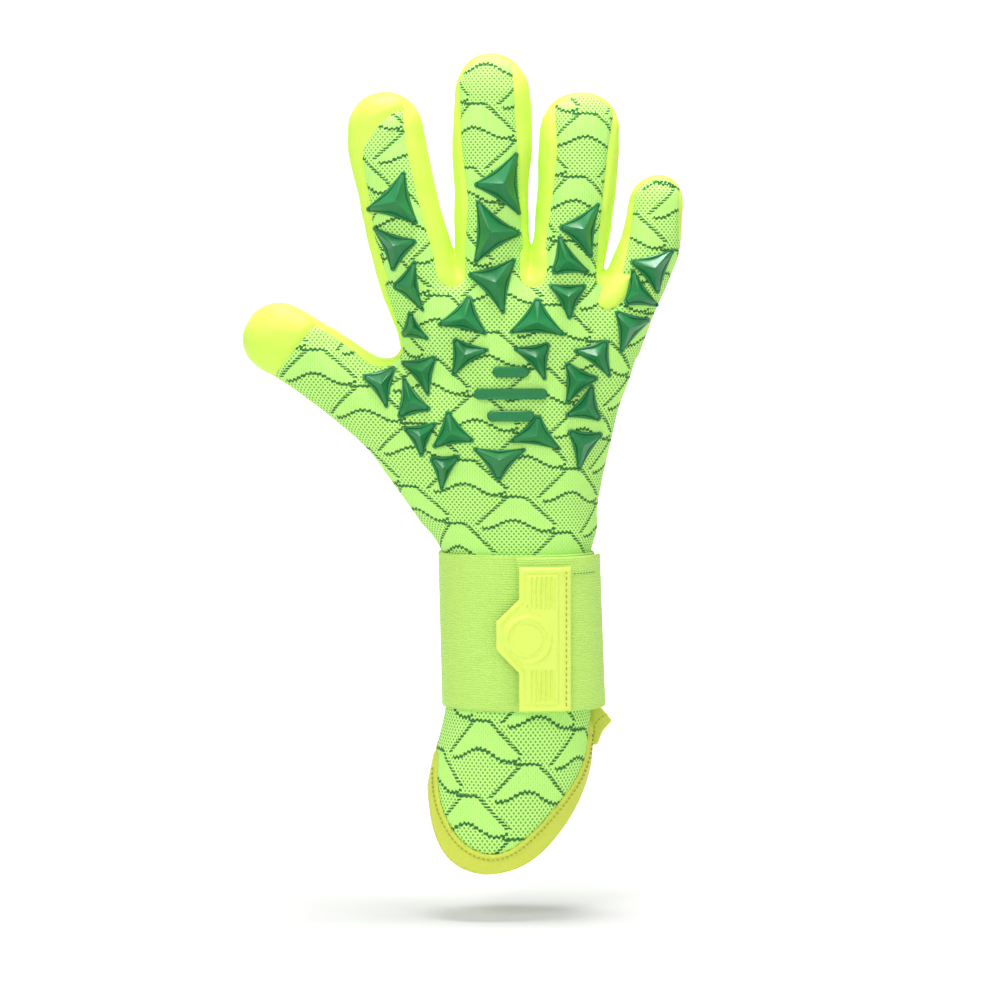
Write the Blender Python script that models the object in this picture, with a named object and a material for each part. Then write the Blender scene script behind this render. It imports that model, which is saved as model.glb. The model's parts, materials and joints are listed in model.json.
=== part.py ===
"""A right-hand goalkeeper glove, open and upright as on a hand: fingers up, back of the hand towards -Y.

The glove is one hand-shaped form, hollowed to a wall and cut into its knitted back, its latex palm, its
cuff and its finger pieces. Every size is in millimetres, and a mesh is scaled to metres as it is made.
The origin is the middle of the wrist opening, where the hand goes in, and +Z runs up the hand.
"""

import math

import bmesh
import bpy
from mathutils import Matrix, Vector

MM = 0.001

# ---- the wall and the clearances ----
KNIT_WALL = 2.6  # knitted back with its lining
LATEX_WALL = 4.2  # latex foam palm with its backing
SIDE_WALL = (KNIT_WALL + LATEX_WALL) / 2
TOUCH_GAP = 0.35  # left between two pieces that are sewn together
WELD = 0.01  # points nearer than this become one
FLAT_ANGLE = 0.6  # degrees between faces that count as one
LAYER_GAP = 0.3  # left between two layers that lie on each other
SECTION_POWER = 2.2  # 2 is an ellipse, and more is boxier
FINGER_SIDES = 16
PALM_SIDES = 24
THUMB_SIDES = 16

# ---- the palm and the wrist: height, middle x, half width, middle y, half depth, drop per mm towards +X ----
PALM_STATIONS = (
    (-62, -14.2, 30.0, 0.0, 20.0, 0.0),
    (-25, -6.8, 30.4, 0.0, 20.5, 0.0),
    (-1, -1.9, 29.6, 0.0, 20.5, 0.0),
    (9, -1.2, 27.6, 0.0, 19.6, 0.0),
    (73.5, -1.2, 27.6, 0.0, 19.0, 0.0),
    (79, -2.4, 30.2, 0.2, 19.3, 0.0),
    (90, -4.0, 33.3, 0.5, 19.3, 0.0),
    (110, -4.5, 38.5, 1.0, 19.0, 0.0),
    (130, -3.0, 40.3, 1.0, 18.5, 0.0),
    (150, 0.0, 43.2, 0.5, 17.5, 0.05),
    (163, 1.5, 43.0, 0.0, 15.5, 0.15),
    (171, 1.5, 36.0, 0.0, 12.5, 0.2),
    (175, 1.5, 26.0, 0.0, 8.0, 0.2),
)

# ---- the fingers: (x, z) of the root, of the middle joint and of the tip ----
FINGERS = {
    "index": {
        "root": (-26.5, 154.0),
        "curl": (-45.3, 197.0),
        "tip": (-52.6, 248.5),
        "half_widths": (15.6, 14.5, 14.4),
        "cap": 14.5,
        "knit": (-0.93, 0.55),
        "fold_lean": -12.5,
    },
    "middle": {
        "root": (-9.5, 154.0),
        "curl": (-11.4, 204.5),
        "tip": (-9.8, 262.6),
        "half_widths": (13.6, 13.6, 14.7),
        "cap": 18.0,
        "knit": (-0.82, 0.70),
        "fold_lean": 0.0,
    },
    "ring": {
        "root": (13.5, 154.0),
        "curl": (18.0, 187.7),
        "tip": (23.8, 248.6),
        "half_widths": (13.6, 13.7, 15.2),
        "cap": 15.5,
        "knit": (-0.64, 0.76),
        "fold_lean": 6.0,
    },
    "little": {
        "root": (33.0, 152.0),
        "curl": (46.0, 178.0),
        "tip": (53.2, 215.7),
        "half_widths": (12.0, 11.4, 10.6),
        "cap": 11.5,
        "knit": (-0.93, 0.82),
        "fold_lean": 17.0,
    },
}
FINGER_HALF_DEPTHS = (13.5, 12.2, 11.2)
LITTLE_DEPTH_SHARE = 0.88
FINGER_BOW = 7.0  # how far a fingertip leans towards the palm
CURL_FLEX = 80.0
STUB_REACH = 7.0  # how far a finger's root piece is drawn past its fold before it is cut
KNUCKLE_FOLD = {"point": (0.0, 10.5, 154.5), "lean": 0.0, "flex": 60.0}
CURL_AXIS_SHARE = 0.6  # a finger's fold lies this share of its half depth towards the palm

# ---- the thumb: x, z, half width, middle y, half depth ----
THUMB_STATIONS = (
    (-24.0, 104.0, 22.0, 2.0, 16.5),
    (-41.0, 122.5, 22.0, 2.5, 16.5),
    (-53.8, 129.4, 18.0, 3.0, 15.0),
    (-66.0, 134.6, 14.7, 4.0, 13.6),
    (-79.0, 142.6, 14.2, 5.0, 13.0),
    (-104.0, 158.6, 13.8, 7.0, 12.2),
)
THUMB_CAP = 14.0
THUMB_SWING = {"point": (-59.0, 7.0, 129.0), "lean": -78.0, "flex": 32.0}
THUMB_CURL = {"point": (-76.5, 8.5, 141.0), "lean": -57.5, "flex": 42.0}
THUMB_CAP_EDGE = (-92.5, 149.0)  # the latex cap's edge crosses the thumb here
THUMB_CAP_LEAN = -47.0
THUMB_KNIT = (-1.0, 0.86)

# ---- where the knitted back ends and the latex begins ----
PALM_SPLIT_Y = 0.0
KNIT_TOP = ((-80.0, 170.3), (22.0, 169.6), (70.0, 157.2))  # below the finger gaps
WRIST_LINE = 77.0  # the latex palm ends here and the elastic underside begins
UNDERSIDE_HEM = -3.0
UNDERSIDE_END = -9.0

# ---- webs between the fingers: middle of the gap, height of its lower end, half width ----
WEBS = {
    "web_index_middle": (-26.2, 173.5, 4.8, -10.0),
    "web_middle_ring": (4.2, 173.5, 4.6, 3.0),
    "web_ring_little": (33.0, 165.0, 4.9, 22.0),
}
WEB_LENGTH = 26.0
WEB_BACK_Y = 4.0

# ---- the cuff's tongue, which hangs below the wrist at the back of the hand ----
TONGUE_LENGTH = 52.0
TONGUE_HALF_WIDTH = 30.2
TONGUE_LEAN = 0.2
TONGUE_MIDDLE = -1.9
TONGUE_POWER = 2.6
HEM_WIDTH = 7.6
HEM_SIDE_WIDTH = 2.6

# ---- the wrist strap ----
STRAP_LOW = 11.2
STRAP_HIGH = 71.2
STRAP_MIDDLE_X = -1.2
STRAP_CORE = (27.8, 19.8)  # half width and half depth of what the strap goes round
BAND_THICK = 1.4
PATCH_THICK = 0.7
FLAP_THICK = 1.4
TAB_THICK = 2.4
STRAP_SIDES = 34
FLAP_START = 0.0  # degrees round the wrist from its +X side, at the fold
FLAP_FOLD_GAP = 7.0
FLAP_END_X = -0.8
FOLD_POINT = (31.4, -1.2)  # x and y of the upright line that the flap swings on
FLAP_SWING = 150.0
TAB_LEFT = -1.0
TAB_RIGHT = 19.2
TAB_LOW = 11.6
TAB_HIGH = 67.0
TAB_NOSE = -9.7
TAB_NOSE_ENDS = (35.5, 46.6)
TAB_NOSE_ROOTS = (26.4, 54.6)
TAB_CORNER = 1.6
HOOK_INSET = 1.8
LOOP_PATCH = (-0.4, 26.0)
LOOP_PATCH_INSET = 4.0

# ---- the pull loop at the cuff's edge ----
LOOP_OUTLINE = ((29.0, 9.6), (31.0, 10.2), (35.6, 4.6), (32.0, 1.2), (30.2, -4.8), (29.0, -5.6))
LOOP_Y = (1.2, 4.0)
LOOP_AXIS = (29.0, 2.6)  # x and y of the upright seam that it turns on

# ---- the raised rubber pads on the back: three corners each, as (x, z) of the pyramid's foot ----
FLANGE = 1.2
FLANGE_RISE = 1.1
PAD_RISE = 0.27  # a pyramid's height, as a share of the root of its area
SIDE_PULL = 0.07  # how far a side bows in, as a share of its length
CORNER_CUT = 1.5
PAD_DEPTH = 8.3  # how deep a pad is drawn before its underside is cut to the fabric
PADS = {
    "pad_index_1": ((-40.0, 196.4), (-59.6, 201.8), (-44.0, 217.6)),
    "pad_index_2": ((-39.5, 190.2), (-48.6, 178.8), (-56.8, 196.8)),
    "pad_index_3": ((-40.8, 184.0), (-37.3, 163.2), (-49.2, 174.3)),
    "pad_index_4": ((-43.4, 164.2), (-34.8, 154.0), (-47.4, 148.6)),
    "pad_middle_1": ((-0.6, 200.0), (-18.2, 211.2), (-1.8, 225.2)),
    "pad_middle_2": ((-16.6, 207.0), (0.0, 192.7), (-17.6, 181.6)),
    "pad_middle_3": ((-2.4, 184.8), (-7.2, 162.4), (-20.4, 179.0)),
    "pad_ring_1": ((29.8, 206.0), (26.6, 183.6), (14.4, 197.0)),
    "pad_ring_2": ((11.2, 179.2), (13.8, 193.4), (26.4, 178.2)),
    "pad_ring_3": ((19.0, 160.4), (10.6, 175.0), (24.6, 174.8)),
    "pad_little_1": ((41.6, 184.0), (59.4, 187.2), (51.9, 170.0)),
    "pad_little_2": ((38.8, 167.6), (42.0, 180.6), (53.2, 165.2)),
    "pad_little_3": ((36.6, 164.8), (50.0, 161.4), (37.4, 147.4)),
    "pad_back_01": ((-20.6, 170.6), (-12.6, 155.4), (-32.6, 159.2)),
    "pad_back_02": ((7.0, 169.4), (17.4, 155.2), (-5.0, 156.2)),
    "pad_back_03": ((-26.6, 153.2), (-12.0, 150.0), (-27.0, 139.2)),
    "pad_back_04": ((9.8, 137.4), (-3.2, 150.6), (11.4, 151.4)),
    "pad_back_05": ((32.2, 153.6), (34.8, 138.4), (19.6, 149.6)),
    "pad_back_06": ((-51.8, 126.4), (-60.8, 140.0), (-48.6, 143.4)),
    "pad_back_07": ((-46.2, 145.2), (-33.0, 147.6), (-34.8, 131.6)),
    "pad_back_08": ((-46.6, 122.8), (-45.8, 139.4), (-34.4, 126.0)),
    "pad_back_09": ((17.6, 145.4), (29.8, 139.2), (16.4, 128.6)),
    "pad_back_10": ((28.0, 136.4), (31.2, 122.8), (16.6, 123.4)),
    "pad_back_11": ((-32.4, 122.4), (-38.6, 108.0), (-45.4, 118.8)),
    "pad_back_12": ((-27.4, 126.8), (-17.4, 115.2), (-34.4, 112.4)),
    "pad_back_13": ((7.6, 124.6), (15.8, 111.4), (-5.0, 114.8)),
    "pad_back_14": ((21.4, 102.4), (18.4, 119.4), (31.4, 117.8)),
    "pad_back_15": ((-7.8, 99.4), (-19.0, 111.8), (2.4, 111.4)),
    "pad_back_16": ((-34.4, 109.0), (-23.4, 109.8), (-31.0, 95.2)),
}
# Pads that lie over the knuckle fold: the x range and the least y where the hand's side would catch them
FOLD_TRIMS = {
    "pad_index_4": ((-60.0, -38.4), -10.6),
    "pad_little_3": ((37.9, 60.0), -11.6),
}
# The pads that ride on the finger roots, beyond the knuckle fold
KNUCKLE_PADS = (
    "pad_index_2",
    "pad_index_3",
    "pad_index_4",
    "pad_middle_2",
    "pad_middle_3",
    "pad_ring_2",
    "pad_ring_3",
    "pad_little_2",
    "pad_little_3",
    "pad_back_01",
    "pad_back_02",
)
# Plain rounded ribs in the middle of the back: middle x, middle z, half length
RIBS = {"rib_upper": (-4.0, 141.0, 7.0), "rib_middle": (-4.0, 132.6, 14.0), "rib_lower": (-4.0, 124.2, 9.0)}
RIB_HALF_HEIGHT = 2.1
RIB_RISE = 1.8

FAR = 70.0  # past every side of the glove
MATERIALS = {
    "knit": ((0.60, 0.93, 0.25), 0.85),
    "latex": ((0.82, 0.95, 0.12), 0.6),
    "elastic": ((0.66, 0.92, 0.28), 0.8),
    "hem": ((0.80, 0.85, 0.10), 0.55),
    "rubber": ((0.03, 0.33, 0.10), 0.4),
    "tab_rubber": ((0.86, 0.97, 0.10), 0.45),
    "hook_and_loop": ((0.75, 0.88, 0.30), 0.9),
}


def clear_scene():
    for thing in list(bpy.data.objects):
        bpy.data.objects.remove(thing)


def material(slot):
    """The material of that slot, made once."""
    made = bpy.data.materials.get(slot)
    if made:
        return made
    colour, roughness = MATERIALS[slot]
    made = bpy.data.materials.new(slot)
    made.use_nodes = True
    shader = made.node_tree.nodes["Principled BSDF"]
    shader.inputs["Base Color"].default_value = (*colour, 1.0)
    shader.inputs["Roughness"].default_value = roughness
    shader.inputs["Metallic"].default_value = 0.0
    return made


def new_object(name, points, faces, helper=True):
    """A mesh object from points in millimetres, with its faces turned outwards."""
    mesh = bpy.data.meshes.new(name)
    mesh.from_pydata([Vector(p) * MM for p in points], [], faces)
    shape = bmesh.new()
    shape.from_mesh(mesh)
    bmesh.ops.recalc_face_normals(shape, faces=shape.faces)
    shape.to_mesh(mesh)
    shape.free()
    made = bpy.data.objects.new(name, mesh)
    bpy.context.scene.collection.objects.link(made)
    if helper:
        made.hide_render = True
        made.display_type = "WIRE"
    return made


def loft(name, rings):
    """A closed solid through rings of points, with a flat cap at each end."""
    sides = len(rings[0])
    points = [p for ring in rings for p in ring]
    faces = [list(range(sides)), list(range(len(points) - sides, len(points)))]
    for row in range(len(rings) - 1):
        for i in range(sides):
            j = (i + 1) % sides
            a, b = row * sides, (row + 1) * sides
            faces.append([a + i, a + j, b + j, b + i])
    return new_object(name, points, faces)


def prism(name, outline, along, low, high):
    """An outline drawn by a function of two numbers, extruded along a third from low to high."""
    points = [along(a, b, low) for a, b in outline] + [along(a, b, high) for a, b in outline]
    count = len(outline)
    faces = [list(range(count)), list(range(count, 2 * count))]
    for i in range(count):
        j = (i + 1) % count
        faces.append([i, j, count + j, count + i])
    return new_object(name, points, faces)


def through_y(x, z, y):
    """A prism drawn in x and z and extruded through the hand."""
    return (x, y, z)


def change(target, operation, *others):
    """Adds a Boolean with each other object to the target."""
    for other in others:
        modifier = target.modifiers.new(other.name, "BOOLEAN")
        modifier.operation = operation
        modifier.object = other
        modifier.solver = "MANIFOLD"  # EXACT loses the cuts that meet nearly flush at the seams
    return target


def bake(target):
    """Puts the target's modifiers into its mesh, and joins the points that a cut left almost together."""
    bpy.context.view_layer.update()
    graph = bpy.context.evaluated_depsgraph_get()
    mesh = bpy.data.meshes.new_from_object(target.evaluated_get(graph))
    target.modifiers.clear()
    shape = bmesh.new()
    shape.from_mesh(mesh)
    bmesh.ops.triangulate(shape, faces=shape.faces)
    bmesh.ops.remove_doubles(shape, verts=shape.verts, dist=WELD * MM)
    bmesh.ops.dissolve_degenerate(shape, edges=shape.edges, dist=WELD * MM)
    shape.to_mesh(mesh)
    shape.free()
    target.data = mesh
    return target


def largest_body(mesh):
    """Leaves only the largest of the bodies in a mesh, without the crumbs that a cut left, and its flat faces whole."""
    shape = bmesh.new()
    shape.from_mesh(mesh)
    waiting = set(shape.verts)
    bodies = []
    while waiting:
        body, edge = set(), [next(iter(waiting))]
        while edge:
            vert = edge.pop()
            if vert in body:
                continue
            body.add(vert)
            edge.extend(line.other_vert(vert) for line in vert.link_edges)
        waiting -= body
        bodies.append(body)
    bodies.sort(key=len)
    crumbs = [vert for body in bodies[:-1] for vert in body]
    bmesh.ops.delete(shape, geom=crumbs, context="VERTS")
    flat = math.radians(FLAT_ANGLE)
    bmesh.ops.dissolve_limit(shape, angle_limit=flat, verts=shape.verts, edges=shape.edges)
    bmesh.ops.triangulate(shape, faces=shape.faces)
    shape.to_mesh(mesh)
    shape.free()


def node(name, source, slot, keep=(), remove=()):
    """A visible piece: the source's shape kept inside some helpers and cut by others."""
    made = bpy.data.objects.new(name, source.data.copy())
    bpy.context.scene.collection.objects.link(made)
    for other in keep:
        bake(change(made, "INTERSECT", other))
    for other in remove:
        bake(change(made, "DIFFERENCE", other))
    largest_body(made.data)
    made.data.materials.clear()
    made.data.materials.append(material(slot))
    made.data.set_sharp_from_angle(angle=math.radians(35))
    return made


def superellipse(angle, power=SECTION_POWER):
    c, s = math.cos(angle), math.sin(angle)
    return (math.copysign(abs(c) ** (2 / power), c), math.copysign(abs(s) ** (2 / power), s))


def section(x, y, z, across, half_width, half_depth, sides):
    """A ring of points round (x, y, z): across is the width's direction in x and z, and the depth is along Y."""
    ring = []
    for i in range(sides):
        wide, deep = superellipse(2 * math.pi * i / sides)
        ring.append(
            (x + across[0] * half_width * wide, y + half_depth * deep, z + across[1] * half_width * wide)
        )
    return ring


def three_point(values, at, knots):
    """The smooth curve through three values at three knots."""
    (a, b, c), (p, q, r) = values, knots
    first = (b - a) / (q - p)
    second = ((c - b) / (r - q) - first) / (r - p)
    return a + first * (at - p) + second * (at - p) * (at - q)


def finger_at(name, z):
    """Middle x and y, lean, half width and half depth of a finger at height z, before its tip rounds off."""
    f = FINGERS[name]
    knots = (f["root"][1], f["curl"][1], f["tip"][1])
    xs = (f["root"][0], f["curl"][0], f["tip"][0])
    x = three_point(xs, z, knots)
    lean = math.atan(three_point(xs, z + 0.5, knots) - three_point(xs, z - 0.5, knots))
    share = max(0.0, (z - knots[0]) / (knots[2] - knots[0]))
    depth = three_point(FINGER_HALF_DEPTHS, z, knots)
    if name == "little":
        depth *= LITTLE_DEPTH_SHARE
    return x, FINGER_BOW * share**2, lean, three_point(f["half_widths"], z, knots), depth


def finger_rings(name, low, high, inset, shift):
    """Rings up a finger from height low to high, or over its rounded tip where high is None."""
    f = FINGERS[name]
    tip = f["tip"][1] - inset
    top = tip - f["cap"] if high is None else high
    steps = max(2, round((top - low) / 11))
    levels = [(low + (top - low) * i / steps, 1.0) for i in range(steps + 1)]
    if high is None:
        for turn in (26, 50, 70, 85):
            angle = math.radians(turn)
            levels.append((top + f["cap"] * math.sin(angle), math.cos(angle) ** (2 / SECTION_POWER)))
    rings = []
    for z, size in levels:
        x, y, lean, half_width, half_depth = finger_at(name, z)
        across = (math.cos(lean), -math.sin(lean))
        wide, deep = (half_width - inset) * size, (half_depth - inset) * size
        rings.append(section(x, y + shift, z, across, wide, deep, FINGER_SIDES))
    return rings


def palm_rings(inset, shift):
    rings = []
    for i, (z, x, half_width, y, half_depth, drop) in enumerate(PALM_STATIONS):
        if inset > 0:
            z -= inset * (i == len(PALM_STATIONS) - 1) + 2 * (i == 0)
        across = (1.0, -drop)
        wide, deep = half_width - inset, half_depth - inset
        rings.append(section(x, y + shift, z, across, wide, deep, PALM_SIDES))
    return rings


def thumb_rings(inset, shift, whole=True):
    """Rings along the thumb, from inside the palm to its rounded tip, or only its root."""
    rings = []
    last = len(THUMB_STATIONS) - 1
    for i, (x, z, half_width, y, half_depth) in enumerate(THUMB_STATIONS[:last]):
        near, far = THUMB_STATIONS[max(0, i - 1)], THUMB_STATIONS[i + 1]
        run = Vector((far[0] - near[0], far[1] - near[1])).normalized()
        across = (run.y, -run.x)
        size = (half_width - inset, half_depth - inset)
        rings.append(section(x, y + shift, z, across, *size, THUMB_SIDES))
    if not whole:
        return rings
    x, z, half_width, y, half_depth = THUMB_STATIONS[last]
    near = THUMB_STATIONS[last - 1]
    run = Vector((x - near[0], z - near[1])).normalized()
    across = (run.y, -run.x)
    for turn in (0, 26, 50, 70, 85):
        angle = math.radians(turn)
        back = inset + THUMB_CAP * (1 - math.sin(angle))
        size = math.cos(angle) ** (2 / SECTION_POWER)
        at = (x - run.x * back, y + shift, z - run.y * back)
        wide, deep = (half_width - inset) * size, (half_depth - inset) * size
        rings.append(section(*at, across, wide, deep, THUMB_SIDES))
    return rings


def hand_form(name, inset=0.0, shift=0.0, whole_fingers=False):
    """The palm, the thumb's root and the fingers, or only their roots, in one solid. An inset makes it thinner."""
    form = loft(name, palm_rings(inset, shift))
    parts = [loft(name + "_thumb", thumb_rings(inset, shift, whole=False))]
    for finger, f in FINGERS.items():
        low, high = f["root"][1] - 6.3 - abs(inset), f["curl"][1] + STUB_REACH + inset / 2
        if whole_fingers:
            high = None
        parts.append(loft(name + "_" + finger, finger_rings(finger, low, high, inset, shift)))
    for part in parts:
        bake(change(form, "UNION", part))
    return form


def shell_of(name, outer, inner):
    outer.name = name
    return bake(change(outer, "DIFFERENCE", inner))


def finger_shell(finger):
    """A finger from a little below its fold to its tip, hollow."""
    low = FINGERS[finger]["curl"][1] - 8
    outer = loft(finger + "_outer", finger_rings(finger, low, None, 0.0, 0.0))
    shift = (KNIT_WALL - LATEX_WALL) / 2
    inner = loft(finger + "_inner", finger_rings(finger, low - 2, None, SIDE_WALL, shift))
    return shell_of(finger + "_shell", outer, inner)


def fold_of(finger):
    """Where a finger folds at its middle joint."""
    f = FINGERS[finger]
    _, y, _, _, half_depth = finger_at(finger, f["curl"][1])
    point = (f["curl"][0], y + CURL_AXIS_SHARE * half_depth, f["curl"][1])
    return {"point": point, "lean": f["fold_lean"], "flex": CURL_FLEX}


def beyond(name, fold, side, reach, half_length):
    """Everything on one side of a fold, with the wedge on the palm side that the fold closes.

    Side is 1 for what lies beyond the fold, towards the fingertips, and -1 for what lies before it.
    """
    lean = math.radians(fold["lean"])
    run = (math.sin(lean), math.cos(lean))
    x, y, z = fold["point"]
    gap = TOUCH_GAP / 2
    opening = math.tan(math.radians(fold["flex"] / 2 + 1)) * FAR
    outline = ((-gap, -FAR), (-gap, y), (-gap - opening, y + FAR), (reach, y + FAR), (reach, -FAR))

    def along(s, deep, across):
        s *= side
        return (x + run[0] * s + run[1] * across, deep, z + run[1] * s - run[0] * across)

    return prism(name, outline, along, -half_length, half_length)


def knit_side(name, x, y, z, lean, half_width, half_depth, edges, low, high, grow=0.0):
    """The space in front of the plane through a finger's two seams, from low to high along the finger."""
    seams = []
    for share in edges:
        power = SECTION_POWER
        seams.append((share * half_width, y - half_depth * (1 - abs(share) ** power) ** (1 / power)))
    (left, left_y), (right, right_y) = seams
    slope = (right_y - left_y) / (right - left)
    reach = half_width + 1.5
    outline = (
        (-reach, -FAR),
        (reach, -FAR),
        (reach, right_y + slope * (reach - right) + grow),
        (-reach, left_y - slope * (reach + left) + grow),
    )
    run = (math.sin(lean), math.cos(lean))

    def along(across, deep, s):
        return (x + run[0] * s + run[1] * across, deep, z + run[1] * s - run[0] * across)

    return prism(name, outline, along, low, high)


def finger_knit_side(finger, low, high, grow=0.0):
    """The knitted side of a finger: its back, between the two seams."""
    f = FINGERS[finger]
    z = f["curl"][1]
    x, y, _, half_width, half_depth = finger_at(finger, z)
    lean = math.radians(f["fold_lean"])
    name = f"{finger}_knit_side_{low:.0f}_{grow:.1f}"
    return knit_side(name, x, y, z, lean, half_width + 3, half_depth, f["knit"], low, high, grow)


def finger_tip_knit_side(finger, grow=0.0):
    """The knitted side past the fold, which leans with the finger's own end."""
    f = FINGERS[finger]
    lean = math.atan2(f["tip"][0] - f["curl"][0], f["tip"][1] - f["curl"][1])
    z = (f["curl"][1] + f["tip"][1]) / 2
    x, y, _, half_width, half_depth = finger_at(finger, z)
    name = f"{finger}_tip_knit_side_{grow:.1f}"
    return knit_side(name, x, y, z, lean, half_width, half_depth, f["knit"], -FAR, FAR, grow)


def thumb_knit_side(grow=0.0):
    x, z, half_width, y, half_depth = THUMB_STATIONS[4]
    lean = math.radians(THUMB_CURL["lean"])
    name = f"thumb_knit_side_{grow:.1f}"
    return knit_side(name, x, y, z, lean, half_width + 4, half_depth, THUMB_KNIT, -FAR, FAR, grow)


def tongue_outline(length, half_width, steps=15):
    """The tongue's edge in x and z, closed far above the cuff."""
    sides = ([], [])
    for i in range(steps + 1):
        z = -length * math.sin(math.pi / 2 * i / steps)
        half = half_width * math.sqrt(max(0.0, 1 - (-z / length) ** TONGUE_POWER))
        middle = TONGUE_MIDDLE + TONGUE_LEAN * z
        sides[0].append((middle - half, z))
        sides[1].append((middle + half, z))
    left, right = sides
    west, east = TONGUE_MIDDLE - FAR, TONGUE_MIDDLE + FAR
    return left + right[-2::-1] + [(east, 0.0), (east, 4 * FAR), (west, 4 * FAR), (west, 0.0)]


def web_outline(x, z, half_width, lean, grow=0.0):
    """A web's outline: round at its lower end and straight up into the gap between two fingers."""
    half = half_width + grow
    points = []
    for i in range(9):
        angle = math.pi + math.pi * i / 8
        points.append((half * math.cos(angle), half_width + half * math.sin(angle)))
    points += [(half, WEB_LENGTH), (-half, WEB_LENGTH)]
    turn = math.radians(lean)
    return [
        (x + a * math.cos(turn) + b * math.sin(turn), z - a * math.sin(turn) + b * math.cos(turn))
        for a, b in points
    ]


def pad_outline(corners, grow):
    """A pad's outline: three cut corners and three sides that bow in."""
    middle = sum((Vector(c) for c in corners), Vector((0, 0))) / 3
    outline = []
    for i in range(3):
        here, after = Vector(corners[i]), Vector(corners[(i + 1) % 3])
        before = Vector(corners[i - 1])
        out = (here - middle).normalized()
        tip = here + out * grow
        for other in (before, after):
            side = (other - here).normalized()
            outline.append(tip + side * CORNER_CUT)
        halfway = (here + after) / 2
        pull = (after - here).length * SIDE_PULL
        inward = (middle - halfway).normalized()
        outline.append(halfway + inward * (pull - grow))
    return outline, middle


def surface_finder(shape):
    """A function that gives the y of the glove's back at (x, z)."""
    bpy.context.view_layer.update()

    def back_y(x, z):
        origin = Vector((x, -4 * FAR, z)) * MM
        hit, place, _, _ = shape.ray_cast(origin, Vector((0, 1, 0)))
        return place.y / MM if hit else None

    return back_y


def pad(name, corners, back_y, cutter):
    """A raised pad: a flange on the fabric and a three-sided pyramid on the flange."""
    foot, middle = pad_outline(corners, 0.0)
    rim, _ = pad_outline(corners, FLANGE)
    a, b, c = (Vector(p) for p in corners)
    area = abs((b - a).cross(c - a)) / 2
    rise = FLANGE_RISE + PAD_RISE * math.sqrt(area)
    ground = back_y(*middle)

    def at(point, height):
        share = 1.0
        y = back_y(*point)
        while y is None or y > ground + 8:  # past the glove's edge: follow the last fabric
            share -= 0.1
            y = back_y(*(middle + (Vector(point) - middle) * share))
        return (point[0], y - height, point[1])

    count = len(rim)
    points = [at(p, -PAD_DEPTH) for p in rim] + [at(p, FLANGE_RISE * 0.8) for p in rim]
    points += [at(p, FLANGE_RISE) for p in foot] + [at(middle, rise)]
    faces = [list(range(count))]
    for low, high in ((0, count), (count, 2 * count)):
        for i in range(count):
            j = (i + 1) % count
            faces.append([low + i, low + j, high + j, high + i])
    faces += [[2 * count + i, 2 * count + (i + 1) % count, 3 * count] for i in range(count)]
    drawn = new_object(name + "_drawn", points, faces)
    cuts = [cutter]
    if name in FOLD_TRIMS:
        (left, right), near = FOLD_TRIMS[name]
        fold_z = KNUCKLE_FOLD["point"][2]
        outline = ((left, fold_z - 20.3), (right, fold_z - 20.3), (right, fold_z), (left, fold_z))
        cuts.append(prism(name + "_trim", outline, through_y, near, FAR))
    return node(name, drawn, "rubber", remove=cuts)


def rib(name, x, z, half_length, back_y, cutter):
    """A low rounded rib that lies across the back of the hand."""
    outline = []
    for end in (1, -1):
        for i in range(5):
            angle = math.radians(-90 + 45 * i)
            reach = end * (half_length - RIB_HALF_HEIGHT + RIB_HALF_HEIGHT * math.cos(angle))
            outline.append((x + reach, z + end * RIB_HALF_HEIGHT * math.sin(angle)))
    count = len(outline)
    middle = Vector((x, z))
    crest = [middle + (Vector(p) - middle) * 0.8 for p in outline]
    points = [(p[0], back_y(*p) + PAD_DEPTH, p[1]) for p in outline]
    points += [(p[0], back_y(*p) - RIB_RISE * 0.6, p[1]) for p in outline]
    points += [(p[0], back_y(*p) - RIB_RISE, p[1]) for p in crest]
    faces = [list(range(count)), list(range(2 * count, 3 * count))]
    for low, high in ((0, count), (count, 2 * count)):
        for i in range(count):
            j = (i + 1) % count
            faces.append([low + i, low + j, high + j, high + i])
    drawn = new_object(name + "_drawn", points, faces)
    return node(name, drawn, "rubber", remove=[cutter])


def wrist_point(offset, angle):
    wide, deep = superellipse(angle)
    return (STRAP_MIDDLE_X + (STRAP_CORE[0] + offset) * wide, (STRAP_CORE[1] + offset) * deep)


def band_ring(name, low, high, near, thick):
    """A closed band round the wrist."""
    rings = []
    for offset in (near, near + thick):
        for z in (low, high):
            turn = [2 * math.pi * i / STRAP_SIDES for i in range(STRAP_SIDES)]
            rings.append([(*wrist_point(offset, a), z) for a in turn])
    points = [p for ring in rings for p in ring]
    faces = []
    for first, second in ((0, 1), (1, 3), (3, 2), (2, 0)):
        for i in range(STRAP_SIDES):
            j = (i + 1) % STRAP_SIDES
            a, b = first * STRAP_SIDES, second * STRAP_SIDES
            faces.append([a + i, a + j, b + j, b + i])
    return new_object(name, points, faces)


def wrap(name, low, high, near, thick, start, end, steps=22):
    """Part of a turn round the back of the wrist, from start to end in degrees, where -90 is its middle."""
    turn = [math.radians(start + (end - start) * i / steps) for i in range(steps + 1)]
    outline = [wrist_point(near, a) for a in turn] + [wrist_point(near + thick, a) for a in turn[::-1]]
    return prism(name, outline, lambda x, y, z: (x, y, z), low, high)


def back_angle(x, offset):
    """Where on the back of the wrist a strap layer crosses x, in degrees."""
    share = (x - STRAP_MIDDLE_X) / (STRAP_CORE[0] + offset)
    wide = math.copysign(abs(share) ** (SECTION_POWER / 2), share)
    return -math.degrees(math.acos(max(-1.0, min(1.0, wide))))


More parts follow.
